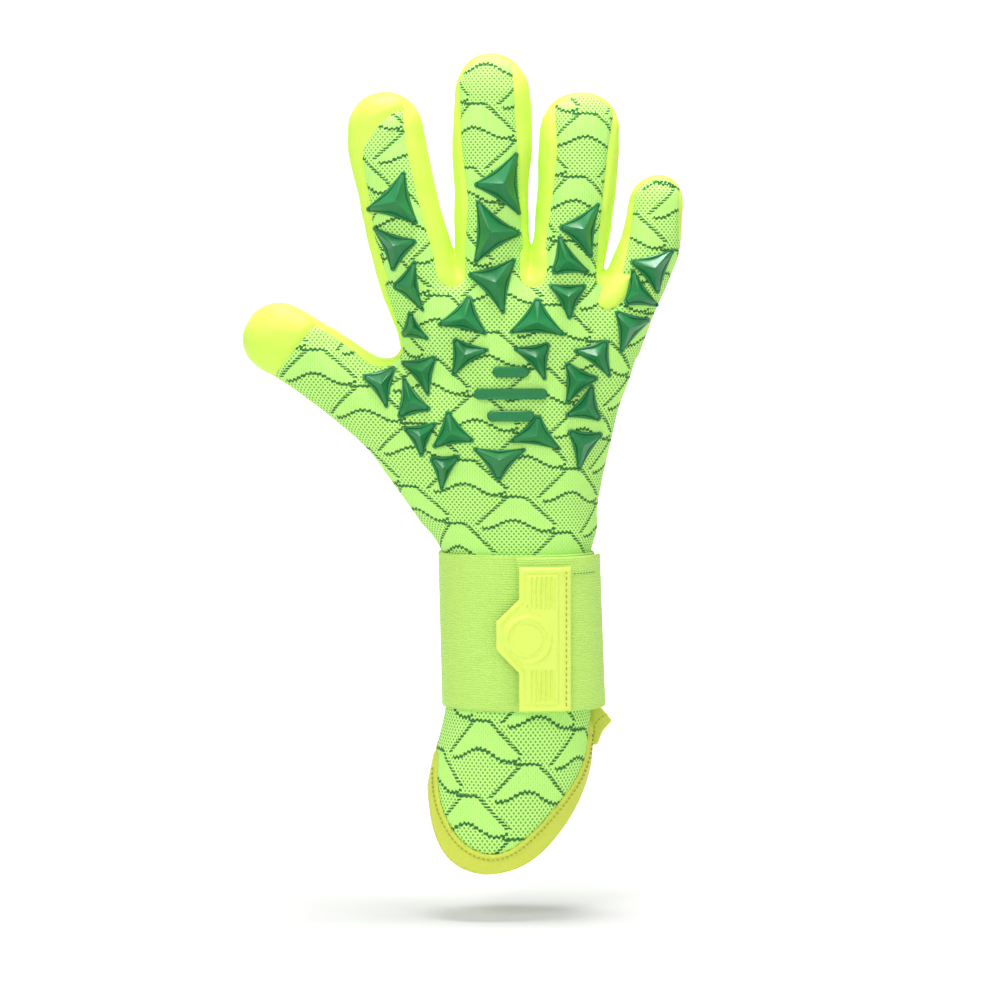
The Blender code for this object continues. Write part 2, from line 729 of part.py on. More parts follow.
def tab_outline(inset=0.0):
    left, right = TAB_LEFT + inset, TAB_RIGHT - inset
    low, high, nose = TAB_LOW + inset, TAB_HIGH - inset, TAB_NOSE + inset
    slope = inset * 0.4
    return (
        (left + TAB_CORNER, low),
        (right - TAB_CORNER, low),
        (right, low + TAB_CORNER),
        (right, high - TAB_CORNER),
        (right - TAB_CORNER, high),
        (left + TAB_CORNER, high),
        (left, high - TAB_CORNER),
        (left, TAB_NOSE_ROOTS[1] - slope),
        (nose, TAB_NOSE_ENDS[1] - slope),
        (nose, TAB_NOSE_ENDS[0] + slope),
        (left, TAB_NOSE_ROOTS[0] + slope),
        (left, low + TAB_CORNER),
    )


def strap_nodes():
    """The elastic band, its patch, and the flap with its hook patch and rubber tab."""
    near = LAYER_GAP
    band = band_ring("band_drawn", STRAP_LOW, STRAP_HIGH, near, BAND_THICK)
    node("strap_band", band, "elastic")
    near += BAND_THICK + LAYER_GAP
    inset = LOOP_PATCH_INSET
    ends = [back_angle(x, near) for x in LOOP_PATCH]
    patch = wrap("patch_drawn", STRAP_LOW + inset, STRAP_HIGH - inset, near, PATCH_THICK, *ends)
    node("loop_patch", patch, "hook_and_loop")
    near += PATCH_THICK + LAYER_GAP
    ends = [back_angle(x, near) for x in (TAB_NOSE - 2, TAB_RIGHT + 2)]
    hook = wrap("hook_drawn", STRAP_LOW, STRAP_HIGH, near, PATCH_THICK, *ends, steps=10)
    outline = tab_outline(HOOK_INSET)
    hook_cut = prism("hook_outline", outline, through_y, -FAR, 0)
    node("hook_patch", hook, "hook_and_loop", keep=[hook_cut])
    near += PATCH_THICK + LAYER_GAP
    end = back_angle(FLAP_END_X, near)
    flap = wrap("flap_drawn", STRAP_LOW, STRAP_HIGH, near, FLAP_THICK, end, FLAP_START - FLAP_FOLD_GAP)
    node("strap_flap", flap, "elastic")
    near += FLAP_THICK + LAYER_GAP
    ends = [back_angle(x, near) for x in (TAB_NOSE - 2, TAB_RIGHT + 2)]
    tab = wrap("tab_drawn", STRAP_LOW, STRAP_HIGH, near, TAB_THICK, *ends, steps=10)
    tab_cut = prism("tab_outline", tab_outline(), through_y, -FAR, 0)
    node("strap_tab", tab, "tab_rubber", keep=[tab_cut])


def place_origins():
    """Moves the origin of each moving piece onto the axis that it turns on."""
    strap = (*FOLD_POINT, (STRAP_LOW + STRAP_HIGH) / 2)
    pivots = {"strap_flap": strap, "strap_tab": strap, "hook_patch": strap}
    pivots["pull_loop"] = (*LOOP_AXIS, 2.3)
    for name in ("thumb_knit", "thumb_latex"):
        pivots[name] = THUMB_SWING["point"]
    for name in ("thumb_tip_knit", "thumb_tip_latex"):
        pivots[name] = THUMB_CURL["point"]
    for finger in FINGERS:
        for name in (finger + "_knit", finger + "_latex", "pad_" + finger + "_1"):
            pivots[name] = fold_of(finger)["point"]
    for name in ("knuckle_knit", "knuckle_latex", *WEBS, *KNUCKLE_PADS):
        pivots[name] = KNUCKLE_FOLD["point"]
    for name, point in pivots.items():
        piece = bpy.data.objects[name]
        at = Vector(point) * MM
        piece.data.transform(Matrix.Translation(-at))
        piece.location = at


def build():
    clear_scene()
    shift = (KNIT_WALL - LATEX_WALL) / 2
    skin = hand_form("skin_plus_gap", -TOUCH_GAP, whole_fingers=True)
    outer = hand_form("hand_outer")
    inner = hand_form("hand_inner", SIDE_WALL, shift)
    shell = shell_of("hand_shell", outer, inner)

    past_knuckles = beyond("past_knuckles", KNUCKLE_FOLD, 1, 2 * FAR, 2.1 * FAR)
    before_knuckles = beyond("before_knuckles", KNUCKLE_FOLD, -1, 4 * FAR, 2.2 * FAR)
    past_swing = beyond("past_thumb_swing", THUMB_SWING, 1, FAR, 23.0)
    before_swing = beyond("before_thumb_swing", THUMB_SWING, -1, 2 * FAR, FAR)
    past_curl = beyond("past_thumb_curl", THUMB_CURL, 1, FAR, 30.0)
    before_curl = beyond("before_thumb_curl", THUMB_CURL, -1, 2 * FAR, FAR)

    half = TOUCH_GAP / 2
    top = list(KNIT_TOP)
    palm_area = top + [(FAR, -FAR), (-2 * FAR, -FAR)]
    palm_knit = prism("palm_knit_side", palm_area, through_y, -FAR, PALM_SPLIT_Y - half)
    palm_knit_wide = prism("palm_knit_wide", palm_area, through_y, -FAR - 1, PALM_SPLIT_Y + half)
    knit_parts = [finger_knit_side(f, -38, 12) for f in FINGERS]
    wide_parts = [finger_knit_side(f, -38 - half, 12.5, TOUCH_GAP) for f in FINGERS]
    knit_space = bake(change(palm_knit, "UNION", *knit_parts))
    knit_space_wide = bake(change(palm_knit_wide, "UNION", *wide_parts))

    webs, wide_webs = {}, []
    for name, (x, z, half_width, lean) in WEBS.items():
        outline = web_outline(x, z, half_width, lean)
        webs[name] = prism(name + "_space", outline, through_y, -FAR, WEB_BACK_Y)
        outline = web_outline(x, z, half_width, lean, TOUCH_GAP)
        wide_webs.append(prism(name + "_wide", outline, through_y, -FAR, WEB_BACK_Y + TOUCH_GAP))

    inner_edge = prism(
        "tongue_inner",
        tongue_outline(TONGUE_LENGTH - HEM_WIDTH, TONGUE_HALF_WIDTH - HEM_SIDE_WIDTH),
        through_y,
        -FAR,
        FAR,
    )
    inner_edge_wide = prism(
        "tongue_inner_wide",
        tongue_outline(TONGUE_LENGTH - HEM_WIDTH + TOUCH_GAP, TONGUE_HALF_WIDTH - HEM_SIDE_WIDTH + TOUCH_GAP),
        through_y,
        -FAR - 1,
        PALM_SPLIT_Y + half,
    )
    outer_edge = prism(
        "tongue_outer", tongue_outline(TONGUE_LENGTH, TONGUE_HALF_WIDTH), through_y, -FAR, FAR
    )

    def slab(name, low, high, front, back):
        outline = ((-2 * FAR, low), (2 * FAR, low), (2 * FAR, high), (-2 * FAR, high))
        return prism(name, outline, through_y, front, back)

    thumb_side = thumb_knit_side()
    thumb_side_wide = thumb_knit_side(TOUCH_GAP)

    node("backhand_knit", shell, "knit", keep=[knit_space, inner_edge], remove=[past_knuckles, past_swing])
    palm_zone = slab("palm_zone", WRIST_LINE, 4 * FAR, -FAR, FAR)
    node(
        "palm_latex", shell, "latex", keep=[palm_zone], remove=[knit_space_wide, past_knuckles, past_swing]
    )
    under_zone = slab("underside_zone", UNDERSIDE_HEM, WRIST_LINE - TOUCH_GAP, PALM_SPLIT_Y + half, FAR)
    node("wrist_elastic", shell, "elastic", keep=[under_zone])
    hem_back = slab("hem_back", UNDERSIDE_END, UNDERSIDE_HEM - TOUCH_GAP, PALM_SPLIT_Y - 1, FAR)
    hem_front = slab("hem_front", -2 * FAR, UNDERSIDE_HEM - TOUCH_GAP, -FAR, PALM_SPLIT_Y)
    hem_space = bake(change(hem_front, "INTERSECT", outer_edge))
    bake(change(hem_space, "UNION", hem_back))
    bake(change(hem_space, "DIFFERENCE", inner_edge_wide))
    node("entry_binding", shell, "hem", keep=[hem_space])

    stub_ends = []
    for finger in FINGERS:
        stub_ends.append(beyond(finger + "_stub_end", fold_of(finger), 1, STUB_REACH + 12, 18.0))
    cuts = [before_knuckles, *wide_webs, *stub_ends]
    node("knuckle_knit", shell, "knit", keep=[knit_space], remove=cuts)
    node("knuckle_latex", shell, "latex", remove=[knit_space_wide, *cuts])
    for name, space in webs.items():
        node(name, shell, "latex", keep=[space], remove=[before_knuckles, *stub_ends])

    for finger in FINGERS:
        tube = finger_shell(finger)
        before = beyond(finger + "_before", fold_of(finger), -1, FAR, 30.0)
        node(finger + "_knit", tube, "knit", keep=[finger_tip_knit_side(finger)], remove=[before])
        wide = finger_tip_knit_side(finger, TOUCH_GAP)
        node(finger + "_latex", tube, "latex", remove=[wide, before])

    thumb_outer = loft("thumb_outer", thumb_rings(0.0, 0.0))
    thumb_inner = loft("thumb_inner", thumb_rings(SIDE_WALL, shift))
    thumb = shell_of("thumb_shell", thumb_outer, thumb_inner)
    node("thumb_knit", thumb, "knit", keep=[thumb_side], remove=[before_swing, past_curl])
    node("thumb_latex", thumb, "latex", remove=[thumb_side_wide, before_swing, past_curl])
    cap_edge = {"point": (THUMB_CAP_EDGE[0], -FAR, THUMB_CAP_EDGE[1]), "lean": THUMB_CAP_LEAN, "flex": -2}
    cap_space = beyond("thumb_cap_space", cap_edge, 1, FAR, FAR)
    tip_knit = node("thumb_tip_knit", thumb, "knit", keep=[thumb_side], remove=[before_curl, cap_space])
    tip_knit_space = bake(change(thumb_side_wide, "DIFFERENCE", beyond("cap", cap_edge, 1, FAR, FAR)))
    node("thumb_tip_latex", thumb, "latex", remove=[tip_knit_space, before_curl])

    strap_nodes()
    pull = prism("pull_drawn", LOOP_OUTLINE, through_y, *LOOP_Y)
    node("pull_loop", pull, "hem", remove=[skin])

    back_y = surface_finder(skin)
    for name, corners in PADS.items():
        pad(name, corners, back_y, skin)
    for name, (x, z, half_length) in RIBS.items():
        rib(name, x, z, half_length, back_y, skin)
    place_origins()


build()
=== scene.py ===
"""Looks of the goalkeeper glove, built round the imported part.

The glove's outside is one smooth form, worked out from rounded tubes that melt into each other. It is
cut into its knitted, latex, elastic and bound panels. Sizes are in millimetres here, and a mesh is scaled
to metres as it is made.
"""

import itertools
import json
import math

import bpy
import numpy as np
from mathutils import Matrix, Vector, noise
from mathutils.bvhtree import BVHTree


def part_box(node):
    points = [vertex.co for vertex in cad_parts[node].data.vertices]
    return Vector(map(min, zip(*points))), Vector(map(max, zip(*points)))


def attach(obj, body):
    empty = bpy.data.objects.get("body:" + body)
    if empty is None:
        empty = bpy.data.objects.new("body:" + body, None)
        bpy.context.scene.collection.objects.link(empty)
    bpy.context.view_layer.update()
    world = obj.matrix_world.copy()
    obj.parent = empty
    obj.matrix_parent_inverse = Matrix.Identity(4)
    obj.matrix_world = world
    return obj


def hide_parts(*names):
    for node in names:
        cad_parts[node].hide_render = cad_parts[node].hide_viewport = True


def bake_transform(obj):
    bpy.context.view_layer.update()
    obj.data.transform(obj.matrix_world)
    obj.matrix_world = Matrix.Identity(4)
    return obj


MM = 0.001
POWER = 2.2  # 2 would make the tubes' sections ellipses
GRID = 1.35
SETTLE_ROUNDS = 3
OUTLINE_ROUNDS = 2

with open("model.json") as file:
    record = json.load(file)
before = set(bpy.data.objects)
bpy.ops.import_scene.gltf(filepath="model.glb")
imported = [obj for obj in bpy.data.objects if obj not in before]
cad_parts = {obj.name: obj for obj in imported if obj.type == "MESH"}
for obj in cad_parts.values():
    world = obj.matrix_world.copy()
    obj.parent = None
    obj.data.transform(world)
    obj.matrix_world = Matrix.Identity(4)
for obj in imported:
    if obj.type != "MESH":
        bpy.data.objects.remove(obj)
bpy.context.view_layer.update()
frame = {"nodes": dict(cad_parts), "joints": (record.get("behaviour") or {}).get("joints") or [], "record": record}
joints = {j["name"]: j for j in frame["joints"]}


def joint_at(name):
    """Where a joint is, in millimetres, and the direction in x and z that its child runs in."""
    pos = [c / MM for c in joints[name]["pos_m"]]
    a = joints[name]["axis"]
    return pos, (a[2], -a[0])


def flat_box(node):
    """A node's left, right, bottom and top, in millimetres."""
    low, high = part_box(node)
    return [c / MM for c in (low.x, high.x, low.z, high.z)]


def curve(at, knots, values):
    """A smooth curve through values at rising knots, level past both ends."""
    k, v = np.asarray(knots, float), np.asarray(values, float)
    slope = np.gradient(v, k)
    at = np.clip(at, k[0], k[-1])
    i = np.clip(np.searchsorted(k, at) - 1, 0, len(k) - 2)
    h = k[i + 1] - k[i]
    t = (at - k[i]) / h
    low = (2 * t**3 - 3 * t**2 + 1) * v[i] + (t**3 - 2 * t**2 + t) * h * slope[i]
    return low + (3 * t**2 - 2 * t**3) * v[i + 1] + (t**3 - t**2) * h * slope[i + 1]


class Limb:
    """A rounded tube: rows of distance along it, middle, half width, middle y and half depth.

    Its far end is a dome as long as the cap, and its near end one as long as the root.
    """

    def __init__(self, origin, run, rows, cap, root):
        self.origin, self.run, self.cap, self.root = origin, run, cap, root
        self.rows = np.array(rows, float)
        self.end = self.rows[-1, 0]

    def local(self, points):
        dx, dz = points[:, 0] - self.origin[0], points[:, 2] - self.origin[1]
        along = dx * self.run[0] + dz * self.run[1]
        return along, dx * self.run[1] - dz * self.run[0]

    def sizes(self, along):
        return [curve(along, self.rows[:, 0], self.rows[:, i]) for i in (1, 2, 3, 4)]

    def field(self, points):
        """About the distance in millimetres outside the tube, below zero inside."""
        along, across = self.local(points)
        middle, wide, mid_y, deep = self.sizes(along)
        step = self.sizes(along + 0.5)[0] - self.sizes(along - 0.5)[0]
        a = np.abs((across - middle) / np.sqrt(1 + step**2)) / wide
        b = np.abs(points[:, 1] - mid_y) / deep
        start = self.rows[0, 0] + self.root / 2
        c = np.maximum((along - self.end + self.cap) / self.cap, (start - along) / self.root)
        c = np.maximum(c, 0)
        r = (a**POWER + b**POWER + c**POWER) ** (1 / POWER) + 1e-6
        grow = r ** (1 - POWER)
        p = POWER - 1
        steep = grow * np.sqrt((a**p / wide) ** 2 + (b**p / deep) ** 2 + (c**p / self.cap) ** 2)
        return (r - 1) / np.maximum(steep, 0.5 / np.maximum(wide, deep))


# Each finger: z, middle x, half width, left seam x, right seam x
FINGERS = {
    "index": (
        (150, -28.0, 15.5, -70, 0),
        (176, -38.6, 15.2, -51.4, -29.4),
        (192, -43.4, 15.0, -56.6, -35.2),
        (208, -47.2, 14.6, -60.2, -39.6),
        (228, -51.6, 14.5, -64.3, -44.0),
        (247.6, -52.4, 12.9, -64.6, -45.4),
    ),
    "middle": (
        (150, -9.0, 14.5, -70, 30),
        (176, -10.4, 14.4, -22.2, 2.2),
        (192, -11.0, 14.1, -21.8, 1.2),
        (206, -11.4, 14.0, -20.8, 0.2),
        (228, -11.2, 14.8, -23.2, -1.2),
        (262.6, -11.2, 13.6, -25.6, -3.4),
    ),
    "ring": (
        (150, 12.0, 14.4, -20, 50),
        (176, 16.8, 13.9, 7.4, 29.2),
        (192, 19.4, 14.2, 9.2, 30.4),
        (208, 21.0, 14.6, 11.6, 31.7),
        (226, 22.4, 15.1, 13.6, 33.8),
        (247.8, 23.4, 13.8, 12.0, 37.4),
    ),
    "little": (
        (146, 31.0, 12.5, 0, 80),
        (164, 38.6, 11.8, 33.0, 80),
        (177, 45.0, 11.6, 38.2, 80),
        (191, 50.0, 11.3, 40.8, 61.2),
        (203, 52.0, 10.3, 42.6, 61.4),
        (215.6, 53.0, 8.8, 43.6, 61.0),
    ),
}
FINGER_DEPTHS = {"index": 12.2, "middle": 12.4, "ring": 12.2, "little": 10.8}
FINGER_CAPS = {"index": 13.0, "middle": 17.0, "ring": 13.5, "little": 9.5}
# Palm and wrist: z, left x, right x, middle y, half depth
PALM = (
    (-70, -45.5, 14.5, 0.0, 20.0),
    (-40, -39.5, 20.5, 0.0, 20.3),
    (-22, -35.6, 24.6, 0.0, 20.4),
    (-6, -32.6, 27.0, 0.0, 20.4),
    (8, -29.6, 27.0, 0.0, 19.7),
    (40, -28.8, 26.6, 0.0, 19.5),
    (68, -29.6, 26.4, 0.0, 19.0),
    (76, -32.4, 28.2, 0.1, 19.2),
    (86, -37.0, 29.0, 0.4, 19.2),
    (98, -41.0, 31.2, 0.7, 19.1),
    (114, -43.0, 34.8, 1.0, 18.8),
    (132, -43.6, 37.6, 1.0, 18.2),
    (150, -43.2, 43.2, 0.4, 17.0),
    (166, -42.0, 47.0, 0.0, 14.2),
    (177, -40.0, 47.0, 0.0, 11.8),
)
# The thumb, along its own line: distance, middle, half width, middle y, half depth
THUMB_ROOT = (-34.0, 117.0)
THUMB_RUN = (-0.872, 0.489)
THUMB = (
    (-14, -6.0, 22.0, 1.8, 15.5),
    (6, -3.6, 19.0, 2.2, 15.8),
    (22, -1.6, 15.6, 2.8, 15.2),
    (38, 0.4, 14.2, 4.0, 13.8),
    (56, 2.0, 13.8, 5.6, 12.8),
    (83.0, 2.6, 12.8, 7.2, 11.8),
)
THUMB_TIP_CAP = 13.0
LATEX_CAP_AT = 62.0  # how far along the thumb its latex cap starts
SIDE_SEAM_Y = 3.0

# The cuff's outline at the back of the hand, and the edge between its knit and its binding
CUFF_EDGE = (
    (-90, 80), (-60, -14), (-36.0, -16), (-35.3, -25), (-33.8, -35), (-30.2, -43.5), (-25.0, -48.6),
    (-18.0, -51.4), (-11.5, -51.9), (-4.0, -50.4), (2.0, -48.0), (8.6, -43.2), (16.4, -34.2),
    (22.0, -25.0), (25.6, -16.0), (27.6, -8.0), (60, 0), (90, 80),
)
KNIT_EDGE = (
    (-90, 80), (-50, -3.0), (-31.8, -4.6), (-32.6, -13.5), (-32.0, -22.0), (-29.4, -30.6),
    (-23.8, -38.9), (-16.8, -43.3), (-10.0, -44.4), (-2.8, -42.0), (5.6, -34.8), (11.4, -28.6),
    (17.2, -22.0), (23.2, -13.4), (25.8, -5.0), (26.9, 10.8), (60, 14), (90, 80),
)
HEM_TOP = -3.2
HEM_END = -9.0
WRIST_LINE = 77.0


def finger_limb(name):
    depth = FINGER_DEPTHS[name]
    rows = []
    first, last = FINGERS[name][0][0], FINGERS[name][-1][0]
    for z, middle, wide, _, _ in FINGERS[name]:
        share = (z - first) / (last - first)
        rows.append((z, middle, wide, 7.0 * share**2, depth + 1.4 - 2.6 * share))
    return Limb((0, 0), (0, 1), rows, FINGER_CAPS[name], 30.0)


limbs = {name: finger_limb(name) for name in FINGERS}
palm_rows = [(z, (a + b) / 2, (b - a) / 2, y, d) for z, a, b, y, d in PALM]
limbs["palm"] = Limb((0, 0), (0, 1), palm_rows, 11.0, 1.0)
limbs["thumb"] = Limb(THUMB_ROOT, THUMB_RUN, THUMB, THUMB_TIP_CAP, 24.0)


def melt(a, b, radius):
    """The nearer of two fields, rounded over where they meet."""
    h = np.maximum(radius - np.abs(a - b), 0) / radius
    return np.minimum(a, b) - h * h * radius / 4


def glove_field(points):
    fingers = None
    for name in FINGERS:
        one = limbs[name].field(points)
        fingers = one if fingers is None else melt(fingers, one, 3.0)
    form = melt(limbs["palm"].field(points), fingers, 7.0)
    return melt(form, limbs["thumb"].field(points), 16.0)


def gradient(field, points, step=0.05):
    out = np.empty_like(points)
    for i in range(3):
        shift = np.zeros(3)
        shift[i] = step
        out[:, i] = (field(points + shift) - field(points - shift)) / (2 * step)
    return out


def settle(points):
    """Moves points onto the glove's surface, where its field is zero."""
    for _ in range(SETTLE_ROUNDS):
        slope = gradient(glove_field, points)
        size = (slope**2).sum(1) + 1e-9
        points = points - slope * np.clip(glove_field(points) / size, -3, 3)[:, None]
    return points


def surface_net(low, high, step, field):
    """Points and quads of the field's zero surface inside a box."""
    axes = [np.arange(low[i], high[i] + step, step) for i in range(3)]
    shape = tuple(len(a) for a in axes)
    values = np.empty(shape)
    for i, x in enumerate(axes[0]):
        y, z = np.meshgrid(axes[1], axes[2], indexing="ij")
        slab = np.stack([np.full(y.size, x), y.ravel(), z.ravel()], 1)
        values[i] = field(slab).reshape(shape[1:])
    inside = values < 0
    cells = tuple(n - 1 for n in shape)
    total, count = np.zeros((*cells, 3)), np.zeros(cells)
    corner = [(0, 0, 0), (1, 0, 0), (0, 1, 0), (1, 1, 0), (0, 0, 1), (1, 0, 1), (0, 1, 1), (1, 1, 1)]

    def view(array, c):
        return array[c[0] : c[0] + cells[0], c[1] : c[1] + cells[1], c[2] : c[2] + cells[2]]

    for a in corner:
        for axis in range(3):
            if a[axis]:
                continue
            b = list(a)
            b[axis] = 1
            va, vb = view(values, a), view(values, b)
            cross = view(inside, a) != view(inside, b)
            t = np.where(cross, va / np.where(cross, va - vb, 1), 0)
            place = np.zeros((*cells, 3))
            for k in range(3):
                place[..., k] = a[k]
            place[..., axis] += t
            total += place * cross[..., None]
            count += cross
    used = count > 0
    index = np.full(cells, -1)
    index[used] = np.arange(used.sum())
    where = np.argwhere(used)
    points = np.array(low) + (where + total[used] / count[used][:, None]) * step
    quads = []
    for axis in range(3):
        u, v = [k for k in range(3) if k != axis]
        lead = [slice(1, -1)] * 3
        lead[axis] = slice(0, -1)
        after = list(lead)
        after[axis] = slice(1, None)
        first, second = inside[tuple(lead)], inside[tuple(after)]
        crossing = np.argwhere(first != second)
        flip = first[tuple(crossing.T)]
        base = crossing.copy()
        for k in (u, v):
            base[:, k] += 1
        ring = []
        for du, dv in ((-1, -1), (0, -1), (0, 0), (-1, 0)):
            cell = base.copy()
            cell[:, u] += du
            cell[:, v] += dv
            ring.append(index[tuple(cell.T)])
        ring = np.stack(ring, 1)
        if axis == 1:
            flip = ~flip
        ring[~flip] = ring[~flip][:, ::-1]
        quads.append(ring)
    return points, np.concatenate(quads)


def cut_along(points, triangles, values):
    """Adds points where the values pass through zero, so that no triangle lies on both sides."""
    side = values > 0
    edges = np.sort(triangles[:, [0, 1, 1, 2, 2, 0]].reshape(-1, 2), axis=1)
    edges = np.unique(edges[side[edges[:, 0]] != side[edges[:, 1]]], axis=0)
    if not len(edges):
        return points, triangles
    va, vb = values[edges[:, 0]], values[edges[:, 1]]
    t = np.clip(va / (va - vb), 0.02, 0.98)[:, None]
    new = points[edges[:, 0]] * (1 - t) + points[edges[:, 1]] * t
    size = len(points)
    keys = edges[:, 0].astype(np.int64) * size + edges[:, 1]

    def crossing(a, b):
        low, high = np.minimum(a, b).astype(np.int64), np.maximum(a, b)
        return size + np.searchsorted(keys, low * size + high)

    flags = side[triangles]
    mixed = flags.any(1) & ~flags.all(1)
    done = [triangles[~mixed]]
    work, flags = triangles[mixed], flags[mixed]
    lone = np.where(flags.sum(1) == 1, flags.argmax(1), (~flags).argmax(1))
    rows = np.arange(len(work))
    a, b, c = work[rows, lone], work[rows, (lone + 1) % 3], work[rows, (lone + 2) % 3]
    ab, ac = crossing(a, b), crossing(a, c)
    done += [np.stack([a, ab, ac], 1), np.stack([ab, b, c], 1), np.stack([ab, c, ac], 1)]
    return np.concatenate([points, new]), np.concatenate(done)


def rounded(outline):
    """An outline with its corners cut again and again, so that it runs smoothly."""
    line = np.array(outline, float)
    for _ in range(OUTLINE_ROUNDS):
        after = np.roll(line, -1, 0)
        line = np.stack([line * 0.75 + after * 0.25, line * 0.25 + after * 0.75], 1).reshape(-1, 2)
    return line


def inside_of(outline, x, z):
    """The distance inside an outline in x and z, below zero outside it."""
    corners = np.array(outline, float)
    best = np.full(len(x), 1e9)
    odd = np.zeros(len(x), bool)
    for (ax, az), (bx, bz) in zip(corners, np.roll(corners, -1, 0)):
        ex, ez = bx - ax, bz - az
        t = np.clip(((x - ax) * ex + (z - az) * ez) / (ex * ex + ez * ez), 0, 1)
        best = np.minimum(best, np.hypot(x - ax - t * ex, z - az - t * ez))
        crosses = (az > z) != (bz > z)
        slope = (z - az) * ex / np.where(ez == 0, 1e-9, ez) + ax
        odd ^= crosses & (x < slope)
    return np.where(odd, best, -best)


CUFF_LINE, KNIT_LINE = rounded(CUFF_EDGE), rounded(KNIT_EDGE)


def keep_field(p):
    tongue = np.minimum(inside_of(CUFF_LINE, p[:, 0], p[:, 2]), 0.6 - p[:, 1])
    return np.maximum(tongue, p[:, 2] - HEM_END)


def hem_field(p):
    front = np.minimum(inside_of(KNIT_LINE, p[:, 0], p[:, 2]), SIDE_SEAM_Y - p[:, 1])
    back = np.minimum(p[:, 2] - HEM_TOP, p[:, 1] - SIDE_SEAM_Y)
    return -np.maximum(front, back)


def web_shapes():
    """The webs between the fingers: middle x, lower end, half width and lean, from the part's webs."""
    shapes = []
    for name, lean in (("web_index_middle", -10), ("web_middle_ring", 3), ("web_ring_little", 22)):
        left, right, bottom, _ = flat_box(name)
        half = 4.8
        tilt = math.tan(math.radians(lean))
        middle = (left + half) if tilt >= 0 else (right - half)
        shapes.append((middle, bottom, half, tilt))
    return shapes


WEBS = web_shapes()


def web_field(p):
    """Above zero in the latex webs between the fingers."""
    best = np.full(len(p), -1e9)
    for middle, low, half, tilt in WEBS:
        up = p[:, 2] - low - half
        x = p[:, 0] - middle - tilt * up
        down = half - np.hypot(x, np.minimum(up, 0))
        best = np.maximum(best, np.minimum(np.minimum(down, 12 - p[:, 1]), 9 - up))
    return best


def knit_field(p):
    """Above zero on the knitted back."""
    x, y, z = p.T
    top = np.interp(x, (-60, 22, 34, 60), (172, 171.5, 164, 150))
    knit = np.minimum(SIDE_SEAM_Y - y, top - z)
    for name in FINGERS:
        rows = np.array(FINGERS[name], float)
        limb = limbs[name]
        _, wide, mid_y, _ = limb.sizes(z)
        middle = curve(z, rows[:, 0], rows[:, 1])
        left = np.interp(z, rows[:, 0], rows[:, 3])
        right = np.interp(z, rows[:, 0], rows[:, 4])
        near = wide + 3 - np.abs(x - middle)
        one = np.minimum(np.minimum(x - left, right - x), np.minimum(mid_y + 2.6 - y, near))
        knit = np.maximum(knit, np.minimum(one, z - top + 6))
    along, across = limbs["thumb"].local(p)
    middle, wide, mid_y, _ = limbs["thumb"].sizes(along)
    side = across - middle
    strip = wide - 1.6 - side + np.maximum(0, 36 - along)
    cap = LATEX_CAP_AT - along - 0.16 * side
    back = SIDE_SEAM_Y + np.maximum(mid_y - 2, 0) * 0.4 - p[:, 1]
    crotch = 9.0 * np.exp(-(((x + 56) / 15) ** 2)) * np.clip((z - 128) / 8, 0, 1)
    knit = np.minimum(knit, SIDE_SEAM_Y - crotch - y)
    back = back - crotch * (side > 0)
    on_thumb = (along > 14) & (np.abs(side) < wide + 5)
    knit = np.where(on_thumb, np.minimum(np.minimum(back, strip), cap), knit)
    return np.minimum(knit, -web_field(p))


THUMB_REACH = 30
CROTCH = (-51.5, 146.0)  # x and z where the thumb's skin meets the index finger's side


def beyond_joint(name, p, past=0.0):
    (x, _, z), run = joint_at(name)
    return (p[:, 0] - x) * run[0] + (p[:, 2] - z) * run[1] - past


def finger_zone(p):
    """Above zero on the free fingers, past the knuckle fold."""
    return p[:, 2] - np.interp(p[:, 0], (-60, 22, 34, 60), (167.5, 167.5, 166, 164.5))


def thumb_zone(p):
    """Above zero on the thumb. The index finger's side, above the crotch, is left out of it."""
    near = THUMB_REACH - np.abs(limbs["thumb"].local(p)[1])
    up = p[:, 2] - CROTCH[1]
    below_index = np.maximum(CROTCH[0] - 0.25 * up - p[:, 0], -up)
    return np.minimum(np.minimum(beyond_joint("thumb_swing", p, -8.5), near), below_index)


def thumb_tip_zone(p):
    near = THUMB_REACH - np.abs(limbs["thumb"].local(p)[1])
    return np.minimum(beyond_joint("thumb_swing", p, 10.5), near)


def nearest_finger(p):
    fields = np.stack([limbs[name].field(p) for name in FINGERS], 1)
    return fields.argmin(1)


def pick_gap(a, b):
    """The field between two fingers: above zero on the side of b."""

    def field(p):
        return limbs[a].field(p) - limbs[b].field(p)

    return field


def rest_uv(p):
    """Cloth coordinates in millimetres, which wrap round the sides instead of stretching over them."""
    u, total = np.zeros(len(p)), np.zeros(len(p))
    for limb in limbs.values():
        along, across = limb.local(p)
        middle, wide, mid_y, deep = limb.sizes(along)
        weight = np.exp(-np.clip(limb.field(p), 0, 40) / 2.5) + 1e-9
        share = np.clip((across - middle) / wide, -1, 1)
        wrap = 0.62 * share * np.clip(p[:, 1] - mid_y + deep, 0, 2 * deep)
        u += weight * wrap * (1.0 if limb is not limbs["thumb"] else 0.5)
        total += weight
    up = np.interp(p[:, 2], (-100, 11, 71, 300), (-100, 11, 67.6, 67.6 + 229 / 0.84))
    return np.stack([p[:, 0] + u / total, up], 1)


low, high = (-112, -27, -60), (68, 27, 268)
points, quads = surface_net(low, high, GRID, glove_field)
points = settle(points)
triangles = np.concatenate([quads[:, [0, 1, 2]], quads[:, [0, 2, 3]]])

